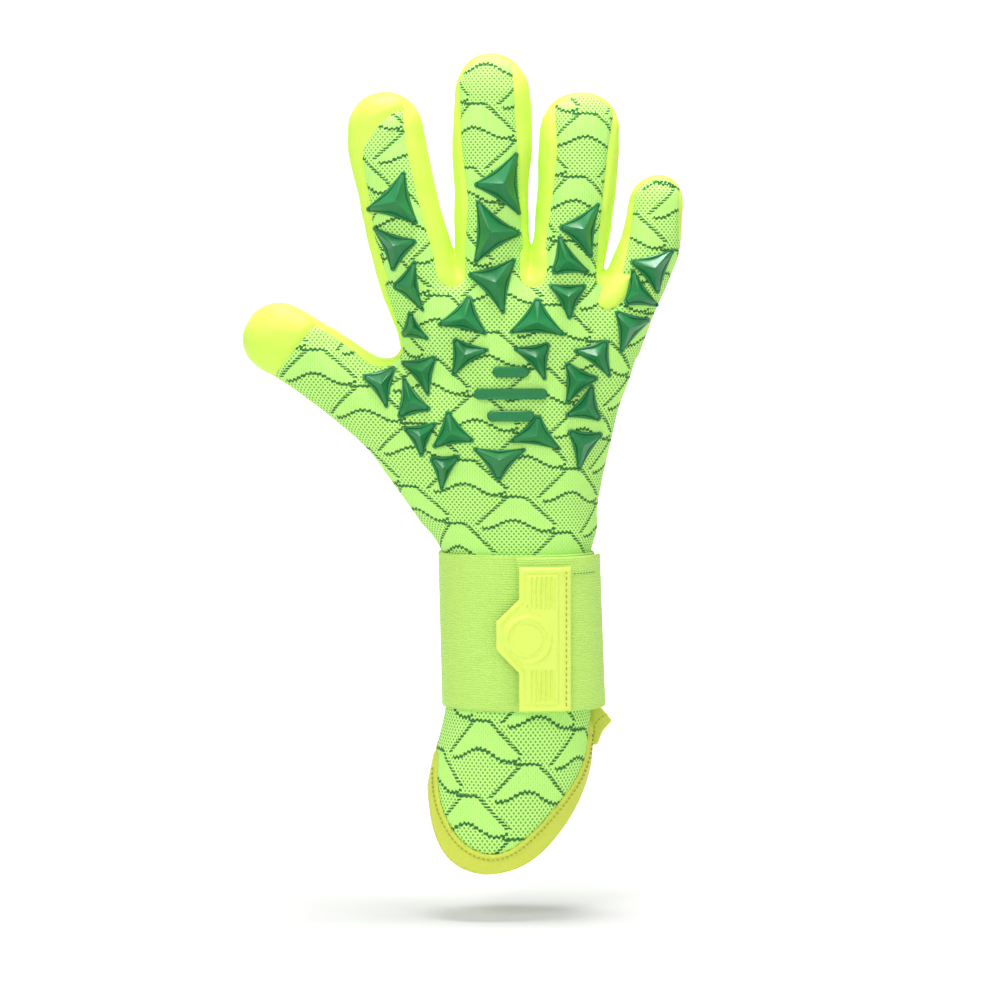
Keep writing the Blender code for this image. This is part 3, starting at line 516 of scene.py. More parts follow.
CUTS = [keep_field, hem_field, knit_field, finger_zone, thumb_zone, thumb_tip_zone]
CUTS.append(lambda p: p[:, 2] - WRIST_LINE + 200 * (p[:, 1] < SIDE_SEAM_Y - 2))
CUTS += [pick_gap(a, b) for a, b in (("index", "middle"), ("middle", "ring"), ("ring", "little"))]
for field in CUTS:
    points, triangles = cut_along(points, triangles, field(points))
    if field is keep_field:
        centre = points[triangles].mean(1)
        triangles = triangles[keep_field(centre) > 0]
centre = points[triangles].mean(1)

# What each triangle is made of, and where it belongs
is_knit = knit_field(centre) > 0
is_hem = (hem_field(centre) > 0) & (centre[:, 2] < 12)
is_under = ~is_knit & (centre[:, 2] < WRIST_LINE)
cloth = np.where(is_hem, "hem", np.where(is_under, "elastic", np.where(is_knit, "knit", "latex")))
names = np.array(list(FINGERS))
place = np.where(finger_zone(centre) > 0, names[nearest_finger(centre)], "hand")
place = np.where(thumb_zone(centre) > 0, "thumb", place)
place = np.where(thumb_tip_zone(centre) > 0, "thumb_tip", place)


def outward(pts, tris):
    normal = np.cross(pts[tris[:, 1]] - pts[tris[:, 0]], pts[tris[:, 2]] - pts[tris[:, 0]])
    total = np.zeros_like(pts)
    for i in range(3):
        np.add.at(total, tris[:, i], normal)
    return total / (np.linalg.norm(total, axis=1)[:, None] + 1e-12)


facing = gradient(glove_field, points[triangles].mean(1))
normal = np.cross(
    points[triangles[:, 1]] - points[triangles[:, 0]], points[triangles[:, 2]] - points[triangles[:, 0]]
)
wrong = (facing * normal).sum(1) < 0
triangles[wrong] = triangles[wrong][:, ::-1]

# Seams pull in, and the latex between them swells a little
seam = knit_field(points)
rise = -0.75 * np.exp(-((seam / 0.75) ** 2)) + 0.5 * np.clip(-seam - 0.6, 0, 3) / 3
rise = np.where(points[:, 2] < WRIST_LINE, -0.3 * np.exp(-((seam / 0.75) ** 2)), rise)
soft = [0.5 * noise.noise(Vector(p) * 0.055) + 0.22 * noise.noise(Vector(p) * 0.16) for p in points]
rise += np.array(soft) * (points[:, 2] > WRIST_LINE)
hem = hem_field(points)
hem_rise = 0.7 * np.clip(hem / 0.8, 0, 1) - 0.25 * np.exp(-((hem / 0.5) ** 2))
rise += np.where(points[:, 2] < 12, hem_rise, 0)
uv = rest_uv(points)
points = points + gradient(glove_field, points) * rise[:, None]
normals = outward(points, triangles)


# ---- materials ----
class Num:
    """A number worked out by a material's nodes."""

    def __init__(self, tree, socket):
        self.tree, self.socket = tree, socket

    def math(self, kind, *others, clamp=False):
        made = self.tree.nodes.new("ShaderNodeMath")
        made.operation = kind
        made.use_clamp = clamp
        for i, value in enumerate((self, *others)):
            if isinstance(value, Num):
                self.tree.links.new(value.socket, made.inputs[i])
            else:
                made.inputs[i].default_value = value
        return Num(self.tree, made.outputs[0])

    def __add__(self, other):
        return self.math("ADD", other)

    def __sub__(self, other):
        return self.math("SUBTRACT", other)

    def __mul__(self, other):
        return self.math("MULTIPLY", other)

    def __truediv__(self, other):
        return self.math("DIVIDE", other)

    def neg(self):
        return self * -1.0

    def whole(self):
        return self.math("FLOOR")

    def part(self):
        return self.math("FRACT")

    def size(self):
        return self.math("ABSOLUTE")

    def least(self, other):
        return self.math("MINIMUM", other)

    def most(self, other):
        return self.math("MAXIMUM", other)

    def above(self, edge, soft=0.12):
        """1 where this is above the edge, 0 below it, with a soft step between."""
        return ((self - edge) / soft + 0.5).math("MULTIPLY", 1.0, clamp=True)


def new_material(name, colour, roughness, sheen=0.0, specular=0.4):
    made = bpy.data.materials.new(name)
    made.use_nodes = True
    shader = made.node_tree.nodes["Principled BSDF"]
    shader.inputs["Base Color"].default_value = (*colour, 1)
    shader.inputs["Roughness"].default_value = roughness
    shader.inputs["Specular IOR Level"].default_value = specular
    if sheen:
        shader.inputs["Sheen Weight"].default_value = sheen
        shader.inputs["Sheen Roughness"].default_value = 0.4
    return made, made.node_tree, shader


def cloth_place(tree):
    """The cloth coordinates in millimetres, as two numbers."""
    source = tree.nodes.new("ShaderNodeUVMap")
    source.uv_map = "cloth"
    parts = tree.nodes.new("ShaderNodeSeparateXYZ")
    tree.links.new(source.outputs[0], parts.inputs[0])
    return Num(tree, parts.outputs[0]) * 100.0, Num(tree, parts.outputs[1]) * 100.0


def object_noise(tree, scale, detail=2.0):
    """Noise over the object's own millimetres, about -1 to 1."""
    place = tree.nodes.new("ShaderNodeTexCoord")
    made = tree.nodes.new("ShaderNodeTexNoise")
    made.inputs["Scale"].default_value = scale * 1000
    made.inputs["Detail"].default_value = detail
    tree.links.new(place.outputs["Object"], made.inputs["Vector"])
    return Num(tree, made.outputs["Fac"]) * 2.0 - 1.0


def blend_colours(tree, share, one, other):
    """One colour where the share is 0, the other where it is 1."""
    made = tree.nodes.new("ShaderNodeMix")
    made.data_type = "RGBA"
    tree.links.new(share.socket, made.inputs["Factor"])
    for key, value in ((6, one), (7, other)):
        if isinstance(value, tuple):
            made.inputs[key].default_value = (*value, 1)
        else:
            tree.links.new(value, made.inputs[key])
    return made.outputs[2]


def bump(tree, shader, height, depth_mm, strength=0.8):
    made = tree.nodes.new("ShaderNodeBump")
    made.inputs["Distance"].default_value = depth_mm * MM
    made.inputs["Strength"].default_value = strength
    tree.links.new(height.socket, made.inputs["Height"])
    tree.links.new(made.outputs[0], shader.inputs["Normal"])


STITCH_ROW = 1.2
HOLE_PITCH = 1.86
# The wing cells of the knit repeat over this slanted lattice
WING_ORIGIN = (-15.5, 7.5)
WING_DOWN = (-4.6, -29.0)
WING_ACROSS = (43.0, -4.2)

# The knit's lit colour and a shaded copy of it, blended for painted shade over its ribs and stitch rows
LIGHT_KNIT = (0.57, 0.97, 0.25)
SHADE_KNIT = (0.36, 0.80, 0.12)
# The dark green painted as shade inside the knit's holes
HOLE_GREEN = (0.09, 0.36, 0.02)
DARK_GREEN = (0.006, 0.13, 0.030)
LATEX_YELLOW = (0.67, 0.94, 0.11)
ELASTIC_GREEN = (0.60, 0.90, 0.20)
HEM_YELLOW = (0.62, 0.70, 0.075)
TAB_YELLOW = (0.74, 0.92, 0.14)
PAD_GREEN = (0.010, 0.205, 0.055)


def wing_lines(u, v, shift):
    """(outline, inside) of the wing cells, each from 0 to 1, for one of the two staggered sets."""
    along = u - (WING_ORIGIN[0] + shift * (WING_DOWN[0] + WING_ACROSS[0]) / 2)
    up = v - (WING_ORIGIN[1] + shift * (WING_DOWN[1] + WING_ACROSS[1]) / 2)
    size = WING_DOWN[0] * WING_ACROSS[1] - WING_DOWN[1] * WING_ACROSS[0]
    p = along * (WING_ACROSS[1] / size) - up * (WING_ACROSS[0] / size)
    q = up * (WING_DOWN[0] / size) - along * (WING_DOWN[1] / size)
    p = (p + 0.2).part() - 0.2
    q = (q + 0.5).part() - 0.5
    x = p * WING_DOWN[0] + q * WING_ACROSS[0]
    y = p * WING_DOWN[1] + q * WING_ACROSS[1]
    row = ((y / STITCH_ROW).whole() + 0.5) * STITCH_ROW
    step = (y / STITCH_ROW).part() - 0.5
    left = (x - (row * 0.95 - 3.2) - step * 0.9).size()
    right = (x - (row * -0.95 + 2.9) + step * 0.9).size()
    in_rows = (y.neg() - 0.1).above(0.0).least(y.above(-13.2))
    left = (left * -1.0).above(-0.92, 0.3).least(in_rows)
    right = (right * -1.0).above(-1.0, 0.3).least(in_rows)
    ladder = (step.size() * -1.0).above(-0.33, 0.16)
    sides = left.most(right) * ladder
    column = ((x / 0.93).whole() + 0.5) * 0.93
    odd = ((x / 1.86).part() - 0.5).above(0.0, 0.1) * 0.55
    wave = ((column + 1.0) * (2 * math.pi / 23)).math("COSINE") * 2.2
    floor_at = wave - 13.4 - (column + 1.0) * 0.05
    near = (y - floor_at - odd).size()
    in_columns = x.above(-13.6).least((x * -1.0).above(-15.2))
    foot = (near * -1.0).above(-0.6, 0.3).least(in_columns)
    crown = ((y + 0.35 - odd * 0.7).size() * -1.0).above(-0.55, 0.3)
    crown = crown.least(((x + 1.6).size() * -1.0).above(-4.9))
    outline = sides.most(foot).most(crown)
    within = (x - (y * 0.95 - 3.2)).least((y * -0.95 + 2.9) - x)
    within = within.least(y * -1.0).least(y - wave + 13.4 + (column + 1.0) * 0.05)
    return outline, within.above(0.3, 0.5)


def knit_material():
    made, tree, shader = new_material("knit", LIGHT_KNIT, 0.85, sheen=0.06, specular=0.2)
    u, v = cloth_place(tree)
    row = (v / STITCH_ROW).whole()
    odd = (row * 0.5).part()
    across = ((u / HOLE_PITCH + odd).part() - 0.5) * HOLE_PITCH
    up = ((v / STITCH_ROW).part() - 0.5) * STITCH_ROW
    away = (across * across + up * up * 0.9).math("SQRT")
    hole = (away * -1.0).above(-0.40, 0.26)
    stray = object_noise(tree, 0.45, 1.0) * 0.5
    one, in_one = wing_lines(u + stray, v + stray, 0)
    two, in_two = wing_lines(u + stray, v + stray, 1)
    outline, inside = one.most(two), in_one.most(in_two)
    open_mesh = (inside * -1.0) + 1.0
    ribs = ((u * (2 * math.pi / 0.93)).math("COSINE") * 0.5) + 0.5
    rows = ((v * (2 * math.pi / 0.6)).math("COSINE") * 0.5) + 0.5
    fleck = object_noise(tree, 0.55, 3.0)
    # Painted shade: stripes along the ribs and stitch rows towards the shaded copy, stronger in the wing cells;
    # the flecks vary the tone at random
    shade = (ribs * 0.46 + rows * 0.16) * (inside * 0.6 + 0.35) + fleck * 0.15
    colour = blend_colours(tree, shade.math("MULTIPLY", 1.0, clamp=True), LIGHT_KNIT, SHADE_KNIT)
    # Painted shade: the knit's open holes are darkened, most outside the wing cells
    holes = hole * (open_mesh * 0.78 + 0.10)
    colour = blend_colours(tree, holes, colour, HOLE_GREEN)
    colour = blend_colours(tree, outline * 0.93, colour, DARK_GREEN)
    tree.links.new(colour, shader.inputs["Base Color"])
    height = (holes * -1.0) + outline * 0.5 + ribs * (inside * 0.25 + 0.05) + rows * 0.12
    bump(tree, shader, height, 0.45, 0.7)
    return made


def latex_material():
    made, tree, shader = new_material("latex", LATEX_YELLOW, 0.5, specular=0.35)
    fine = object_noise(tree, 1.6, 3.0)
    broad = object_noise(tree, 0.05, 2.0)
    colour = blend_colours(
        tree, (broad * 0.35 + 0.3).math("MULTIPLY", 1.0, clamp=True), LATEX_YELLOW, (0.58, 0.86, 0.08)
    )
    tree.links.new(colour, shader.inputs["Base Color"])
    shader.inputs["Subsurface Weight"].default_value = 0.12
    shader.inputs["Subsurface Radius"].default_value = (0.004, 0.004, 0.001)
    bump(tree, shader, fine * 0.5 + broad * 2.0, 0.12, 0.6)
    return made


def elastic_material():
    made, tree, shader = new_material("elastic", ELASTIC_GREEN, 0.8, sheen=0.2, specular=0.25)
    u, v = cloth_place(tree)
    ribs = ((v * (2 * math.pi / 0.95)).math("COSINE") * 0.5) + 0.5
    odd = ((v / 0.95).whole() * 0.5).part()
    weave = (((u / 1.1 + odd) * (2 * math.pi)).math("COSINE") * 0.5) + 0.5
    fleck = object_noise(tree, 0.5, 3.0)
    # Painted shade: the grooves between the elastic's ribs are darker; the weave and flecks vary the tone
    shade = ((ribs * -0.55 + 0.62) + weave * 0.16 + fleck * 0.15).math("MULTIPLY", 1.0, clamp=True)
    colour = blend_colours(tree, shade, ELASTIC_GREEN, (0.45, 0.78, 0.12))
    tree.links.new(colour, shader.inputs["Base Color"])
    bump(tree, shader, ribs + weave * 0.35 + fleck * 0.3, 0.35, 0.7)
    return made


def plain_material(name, colour, roughness, grain=0.8, depth=0.06, specular=0.4):
    made, tree, shader = new_material(name, colour, roughness, specular=specular)
    fleck = object_noise(tree, grain, 3.0)
    darker = tuple(c * 0.86 for c in colour)
    shade = (fleck * 0.4 + 0.25).math("MULTIPLY", 1.0, clamp=True)
    tree.links.new(blend_colours(tree, shade, colour, darker), shader.inputs["Base Color"])
    bump(tree, shader, fleck, depth, 0.5)
    return made


materials = {
    "knit": knit_material(),
    "latex": latex_material(),
    "elastic": elastic_material(),
    "hem": plain_material("hem", HEM_YELLOW, 0.5),
    "rubber": plain_material("rubber", PAD_GREEN, 0.36, 0.5, 0.04, 0.5),
    "tab_rubber": plain_material("tab_rubber", TAB_YELLOW, 0.42, 0.5, 0.03),
    "hook_and_loop": plain_material("hook_and_loop", (0.55, 0.80, 0.16), 0.9, 1.6, 0.35, 0.2),
    "thread": plain_material("thread", (0.36, 0.42, 0.03), 0.7),
    "dark_thread": plain_material("dark_thread", (0.03, 0.26, 0.06), 0.7),
}


def build_mesh(name, pts, faces, slot, place=None, vertex_normals=None, smooth=True):
    """An object from points in millimetres, with its material and its cloth coordinates."""
    mesh = bpy.data.meshes.new(name)
    mesh.from_pydata((np.asarray(pts) * MM).tolist(), [], [list(map(int, f)) for f in faces])
    made = bpy.data.objects.new(name, mesh)
    bpy.context.scene.collection.objects.link(made)
    mesh.materials.append(materials[slot])
    if place is not None:
        layer = mesh.uv_layers.new(name="cloth")
        loops = np.empty(len(mesh.loops), int)
        mesh.loops.foreach_get("vertex_index", loops)
        layer.data.foreach_set("uv", (np.asarray(place)[loops] / 100.0).astype(np.float32).ravel())
    mesh.shade_smooth() if smooth else mesh.shade_flat()
    if vertex_normals is not None:
        mesh.normals_split_custom_set_from_vertices(vertex_normals.tolist())
    return made


def thicken(made, depth):
    """Gives a skin panel its wall, inwards."""
    wall = made.modifiers.new("wall", "SOLIDIFY")
    wall.thickness = depth * MM
    wall.offset = -1
    wall.use_even_offset = False
    return made


PANELS = {
    ("hand", "knit"): ("backhand_panel", ["backhand_knit", "knuckle_knit"]),
    ("hand", "latex"): ("palm_panel", ["palm_latex", "knuckle_latex", "web_index_middle"]),
    ("hand", "elastic"): ("wrist_underside", ["wrist_elastic"]),
    ("hand", "hem"): ("entry_edge", ["entry_binding"]),
    ("thumb", "knit"): ("thumb_back", ["thumb_knit"]),
    ("thumb", "latex"): ("thumb_front", ["thumb_latex"]),
    ("thumb_tip", "knit"): ("thumb_tip_back", ["thumb_tip_knit"]),
    ("thumb_tip", "latex"): ("thumb_tip_cover", ["thumb_tip_latex"]),
}
for finger in FINGERS:
    PANELS[(finger, "knit")] = (finger + "_back", [finger + "_knit"])
    PANELS[(finger, "latex")] = (finger + "_wrap", [finger + "_latex"])
PANELS[("middle", "latex")][1].append("web_middle_ring")
PANELS[("ring", "latex")][1].append("web_ring_little")


def fold_ends(name, before, after):
    """Two points in metres, before and after a joint along its child's direction."""
    (x, y, z), run = joint_at(name)
    start = Vector((x - run[0] * before, y, z - run[1] * before)) * MM
    return start, Vector((x + run[0] * after, y, z + run[1] * after)) * MM


def set_moving(made, where):
    """Bakes a panel's placing into its mesh."""
    if where == "hand":
        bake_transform(made)
    elif where == "thumb":
        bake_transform(made)
    elif where == "thumb_tip":
        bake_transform(made)
    else:
        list(fold_ends(where + "_curl", 9.0, 9.0))
        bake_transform(made)


for (where, slot_name), (name, nodes) in PANELS.items():
    chosen = triangles[(place == where) & (cloth == slot_name)]
    if not len(chosen):
        continue
    used, flat = np.unique(chosen, return_inverse=True)
    piece = build_mesh(name, points[used], flat.reshape(-1, 3), slot_name, uv[used], normals[used])
    if where == "hand":
        thicken(piece, 2.2 if slot_name != "latex" else 3.0)
    set_moving(piece, where)
    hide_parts(*nodes)


# ---- raised rubber on the back ----
SKIN_TREE = BVHTree.FromPolygons(points.tolist(), triangles.tolist())


def back_y(x, z):
    """The y of the glove's back at points (x, z). A point past its edge takes the edge's."""
    out = []
    for a, b in zip(x, z):
        hit = SKIN_TREE.ray_cast((a, -90.0, b), (0.0, 1.0, 0.0))[0]
        if hit is None:
            hit = SKIN_TREE.find_nearest((a, -8.0, b))[0]
        out.append(hit[1])
    return np.array(out)


def corners_of(node):
    """The three corners of a pad's foot in x and z, from the part's own solid."""
    flat = np.array([(v.co.x / MM, v.co.z / MM) for v in frame["nodes"][node].data.vertices])
    middle = flat.mean(0)
    turn = np.arange(0, 360, 9) * math.pi / 180
    reach = flat @ np.stack([np.cos(turn), np.sin(turn)])
    rim = np.unique(flat[reach.argmax(0)], axis=0)
    best, found = 0, None
    for three in itertools.combinations(rim, 3):
        a, b = three[1] - three[0], three[2] - three[0]
        area = abs(a[0] * b[1] - a[1] * b[0])
        if area > best:
            best, found = area, three
    around = sorted(found, key=lambda c: math.atan2(c[1] - middle[1], c[0] - middle[0]))
    return np.array(around)


def rounded_outline(corners, bow, cut):
    """A closed outline with rounded corners and sides that bow in, and its middle."""
    middle = corners.mean(0)
    outline = []
    for i in range(3):
        a, b = corners[i], corners[(i + 1) % 3]
        length = np.linalg.norm(b - a)
        inward = middle - (a + b) / 2
        inward /= np.linalg.norm(inward)
        for t in np.linspace(cut / length, 1 - cut / length, 9):
            outline.append(a + (b - a) * t + inward * bow * length * 4 * t * (1 - t))
        c = corners[(i + 2) % 3]
        first = b + (a - b) * cut / length
        last = b + (c - b) * cut / np.linalg.norm(c - b)
        for t in (0.25, 0.5, 0.75):
            outline.append(first * (1 - t) ** 2 + b * 2 * t * (1 - t) + last * t * t)
    return np.array(outline), middle


def raised(name, outline, middle, levels, slot_name, body, node):
    """A raised piece: rings of (share of the outline, inset, height over the cloth), then its top."""
    count = len(outline)
    away = np.linalg.norm(outline - middle, axis=1)[:, None]
    rings = []
    for share, inset, height in levels:
        flat = middle + (outline - middle) * np.maximum(share - inset / away, 0.02)
        ground = back_y(flat[:, 0], flat[:, 1])
        ground = np.minimum(ground, ground.min() + 9)
        rings.append(np.stack([flat[:, 0], ground - height, flat[:, 1]], 1))
    top = rings[-1].mean(0) - np.array([0, 0.12, 0])
    pts = np.concatenate([*rings, [top]])
    faces = []
    for r in range(len(rings) - 1):
        for i in range(count):
            j = (i + 1) % count
            faces.append((r * count + i, r * count + j, (r + 1) * count + j, (r + 1) * count + i))
    last = (len(rings) - 1) * count
    faces += [(last + i, last + (i + 1) % count, len(pts) - 1) for i in range(count)]
    made = build_mesh(name, pts, faces, slot_name)
    made.data.set_sharp_from_angle(angle=math.radians(28))
    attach(made, body)
    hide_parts(node)
    return made


PAD_GROWTH = 1.1  # how far a pad's rim goes past the solid's corner
PAD_BOW = 0.045  # how far a side bows in, as a share of its length
PAD_CORNER = 3.2
bodies = frame["record"]["behaviour"]["bodies"]
body_of_node = {n: body for body, members in bodies.items() for n in members}
for node in sorted(frame["nodes"]):
    if not node.startswith("pad_"):
        continue
    corners = corners_of(node)
    outward_by = corners - corners.mean(0)
    corners = corners + outward_by * PAD_GROWTH / np.linalg.norm(outward_by, axis=1)[:, None]
    outline, middle = rounded_outline(corners, PAD_BOW, PAD_CORNER)
    a, b = corners[1] - corners[0], corners[2] - corners[0]
    rise = 1.2 + 0.27 * math.sqrt(abs(a[0] * b[1] - a[1] * b[0]) / 2)
    levels = [(1, 0, -0.8), (1, 0, 0.7), (1, 0.3, 1.0), (1, 0.95, 1.05), (1, 1.15, 0.75), (1, 1.5, 1.55)]
    for s in (0.8, 0.6, 0.4, 0.2, 0.06):
        levels.append((s, 1.5 * s, 1.55 + (rise + 0.3 - 1.55) * (1 - s)))
    raised("rubber_" + node, outline, middle, levels, "rubber", body_of_node[node], node)

for node in ("rib_upper", "rib_middle", "rib_lower"):
    x0, x1, z0, z1 = flat_box(node)
    middle, half = np.array([(x0 + x1) / 2, (z0 + z1) / 2]), (z1 - z0) / 2
    turn = np.linspace(0, 2 * math.pi, 40, endpoint=False)
    outline = np.stack([np.cos(turn), np.sin(turn)], 1) * half
    outline[:, 0] += np.sign(np.cos(turn)) * ((x1 - x0) / 2 - half)
    outline += middle
    levels = [(1, 0, -0.8), (1, 0, 1.0), (1, 0.3, 1.5), (1, 0.8, 1.8), (1, 1.4, 1.9)]
    raised("rubber_" + node, outline, middle, levels, "rubber", "hand", node)


# ---- stitches ----
def stitches(name, path, outward_of, pitch, length, thick, slot_name, body, lift=0.15):
    """A row of short threads along a path of points, each a small rounded bar."""
    path = np.asarray(path, float)
    lengths = np.concatenate([[0], np.cumsum(np.linalg.norm(np.diff(path, axis=0), axis=1))])
    pts, faces = [], []
    for s in np.arange(pitch / 2, lengths[-1], pitch):
        ends = []
        for t in (s - length / 2, s + length / 2):
            ends.append(np.array([np.interp(t, lengths, path[:, i]) for i in range(3)]))
        a, b = ends
        run = (b - a) / (np.linalg.norm(b - a) + 1e-9)
        up = outward_of((a + b) / 2)
        side = np.cross(run, up)
        for t, wide in ((0, 0.35), (0.15, 0.85), (0.5, 1), (0.85, 0.85), (1, 0.35)):
            centre_at = a + (b - a) * t + up * (lift * (1 if 0.1 < t < 0.9 else -0.6))
            for turn_at in range(6):
                angle = turn_at * math.pi / 3
                pts.append(centre_at + (side * math.cos(angle) + up * math.sin(angle)) * thick * wide / 2)
        base = len(pts) - 30
        for r in range(4):
            for i in range(6):
                j = (i + 1) % 6
                first = base + r * 6
                faces.append((first + i, first + j, first + 6 + j, first + 6 + i))
        faces.append(tuple(range(base + 5, base - 1, -1)))
        faces.append(tuple(range(base + 24, base + 30)))
    made = build_mesh(name, pts, faces, slot_name)
    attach(made, body)
    return made


def glove_normal(point):
    slope = gradient(glove_field, np.array([point]))[0]
    return slope / np.linalg.norm(slope)


def resample(path, step):
    path = np.asarray(path, float)
    lengths = np.concatenate([[0], np.cumsum(np.linalg.norm(np.diff(path, axis=0), axis=1))])
    at = np.arange(0, lengths[-1], step)
    return np.stack([np.interp(at, lengths, path[:, i]) for i in range(path.shape[1])], 1)


edge = resample(KNIT_LINE[10:62], 1.0)
tangent = np.gradient(edge, axis=0)
tangent /= np.linalg.norm(tangent, axis=1)[:, None]
side = np.stack([tangent[:, 1], -tangent[:, 0]], 1)
line = edge + side * 1.9
line_y = back_y(line[:, 0], line[:, 1])
good = line_y < 2
seam_path = np.stack([line[:, 0], line_y - 0.7, line[:, 1]], 1)[good]
stitches("binding_stitches", seam_path, glove_normal, 1.85, 1.2, 0.68, "thread", "hand")


turn = np.linspace(0, 1, 24)
line = np.stack([46.8 + 14.4 * turn, 210.4 + 3.2 * np.sin(turn * math.pi)], 1)
tip_path = np.stack([line[:, 0], back_y(line[:, 0], line[:, 1]) - 0.1, line[:, 1]], 1)
stitches("fingertip_stitches", tip_path, glove_normal, 1.5, 1.25, 0.75, "dark_thread", "little")


# ---- the wrist strap ----
STRAP_EDGE = 0.5
TAB_BASE = 3.95  # how far the tab's underside lies from what the strap goes round


def strap_size(z):
    """Middle x, half width and half depth of what the strap goes round, at height z."""
    share = (z - 11.2) / 60.0
    return 0.1 - 1.9 * share, 29.0 - 0.4 * share, 20.1 - 0.5 * share


def strap_point(angle, z, offset):
    middle, wide, deep = strap_size(z)
    c, s = math.cos(angle), math.sin(angle)
    return (
        middle + math.copysign(abs(c) ** (2 / POWER), c) * (wide + offset),
        math.copysign(abs(s) ** (2 / POWER), s) * (deep + offset),
        z,
    )


def strap_layer(name, start, end, low_z, high_z, near, thick, slot_name, body, node, steps):
    """A layer of elastic round part of the wrist, or all of it, with soft edges. Angles are in degrees.

    It starts at a distance near from what it goes round.
    """
    whole = end - start >= 360
    turn = np.radians(np.linspace(start, end, steps + 1))
    if whole:
        turn = turn[:-1]
    far = near + thick
    mid = (near + far) / 2
    soft = STRAP_EDGE
    profile = [(near, low_z + soft), (mid, low_z), (far - 0.25, low_z + 0.15), (far, low_z + soft)]
    for z in np.linspace(low_z + 1.2, high_z - 1.2, 24):
        hem = min(z - low_z, high_z - z)
        profile.append((far - 0.35 * math.exp(-(((hem - 2.7) / 0.35) ** 2)), z))
    profile += [(far, high_z - soft), (far - 0.25, high_z - 0.15), (mid, high_z), (near, high_z - soft)]
    count = len(profile)
    pts, place_uv = [], []
    arc = 0.0
    last = None
    for a in turn:
        ring = [strap_point(a, z, offset) for offset, z in profile]
        if last is not None:
            arc += math.dist(ring[0][:2], last[:2])
        last = ring[0]
        pts += ring
        place_uv += [(arc, z) for _, z in profile]
    faces = []
    rings = len(turn)
    for r in range(rings if whole else rings - 1):
        nxt = (r + 1) % rings
        for i in range(count):
            j = (i + 1) % count
            faces.append((r * count + i, r * count + j, nxt * count + j, nxt * count + i))
    if not whole:
        faces.append(tuple(range(count - 1, -1, -1)))
        faces.append(tuple((rings - 1) * count + i for i in range(count)))
    made = build_mesh(name, pts, faces, slot_name, place_uv)
    made.data.set_sharp_from_angle(angle=math.radians(50))
    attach(made, body)
    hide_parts(node)
    return made


def back_angle(x, z, offset):
    middle, wide, _ = strap_size(z)
    share = max(-1, min(1, (x - middle) / (wide + offset)))
    return -math.degrees(math.acos(math.copysign(abs(share) ** (POWER / 2), share)))


def strap_back_y(x, z, offset):
    middle, wide, deep = strap_size(z)
    share = min(0.999, abs(x - middle) / (wide + offset))
    return -(deep + offset) * (1 - share**POWER) ** (1 / POWER)


low_z, high_z = flat_box("strap_band")[2:]
strap_layer("wrist_band", 0, 360, low_z, high_z, 0.2, 1.5, "elastic", "hand", "strap_band", 120)
tape = [back_angle(x, 40, 2) for x in flat_box("loop_patch")[:2]]
low_tape, high_tape = low_z + 4, high_z - 4
strap_layer("loop_tape", *tape, low_tape, high_tape, 1.75, 0.6, "hook_and_loop", "hand", "loop_patch", 30)
flap_end = back_angle(flat_box("strap_flap")[0], 40, 3)
strap_layer(
    "closing_flap", flap_end, -6, low_z, high_z - 0.6, 2.55, 1.35, "elastic", "strap_flap", "strap_flap", 60
)


def smooth_step(value, edge, soft):
    t = np.clip((value - edge) / soft + 0.5, 0, 1)
    return t * t * (3 - 2 * t)


def strap_tab():
    """The closing tab: a rim, a raised field, upright ribs at both ends, and a plain boss with a ring."""
    left, right, bottom, top = flat_box("strap_tab")
    shoulder = left + 8.7
    nose = ((26.4, 35.4), (54.6, 46.0))
    outline = [
        (shoulder, bottom),
        (right, bottom),
        (right, top),
        (shoulder, top),
        (shoulder, nose[1][0]),
        (left, nose[1][1]),
        (left, nose[0][1]),
        (shoulder, nose[0][0]),
    ]
    x = np.arange(left - 0.4, right + 0.8, 0.36)
    z = np.arange(bottom - 0.4, top + 0.8, 0.36)
    gx, gz = np.meshgrid(x, z, indexing="ij")
    flat = np.stack([gx.ravel(), np.zeros(gx.size), gz.ravel()], 1)
    rows, cols = len(x), len(z)
    index = np.arange(rows * cols).reshape(rows, cols)
    quad = np.stack([index[:-1, :-1], index[1:, :-1], index[1:, 1:], index[:-1, 1:]], -1).reshape(-1, 4)
    tris = np.concatenate([quad[:, [0, 1, 2]], quad[:, [0, 2, 3]]])
    round_by = 1.1
    inset = inside_of(outline, flat[:, 0], flat[:, 2])
    flat, tris = cut_along(flat, tris, inset - 0.02)
    inset = inside_of(outline, flat[:, 0], flat[:, 2])
    tris = tris[inset[tris].mean(1) > 0.02]
    px, pz = flat[:, 0], flat[:, 2]
    edge_drop = 1 - np.clip(inset / round_by, 0, 1)
    height = 2.1 - 1.5 * (1 - np.sqrt(np.maximum(0, 1 - edge_drop**2)))
    field = smooth_step(inset, 2.1, 0.5)
    height = height - 0.45 * field
    panel = np.minimum(inset - 3.0, right - 5.0 - px)
    height = height + 0.6 * smooth_step(panel, 0.0, 0.6)
    middle_z = (bottom + top) / 2
    spread = np.abs(pz - middle_z)
    rib = smooth_step(np.cos((px - left) * 2 * math.pi / 1.85), 0.1, 0.7)
    zone = smooth_step(spread, 11.8, 0.5) * smooth_step(panel, 0.9, 0.4)
    height = height + 0.75 * (rib - 0.6) * zone
    from_middle = np.hypot(px - (left + 12.2), pz - middle_z)
    boss = smooth_step(9.2 - from_middle, 0.0, 0.6) - smooth_step(7.6 - from_middle, 0.0, 0.6)
    boss = boss + smooth_step(5.6 - from_middle, 0.0, 0.8) * 0.8
    height = height + 0.7 * boss * smooth_step(panel, 0.6, 0.6)
    base = np.array([strap_back_y(a, b, TAB_BASE) for a, b in zip(px, pz)])
    pts = np.stack([px, base - height, pz], 1)
    made = build_mesh("closing_tab", pts, tris, "tab_rubber")
    return made, left, right, bottom, top


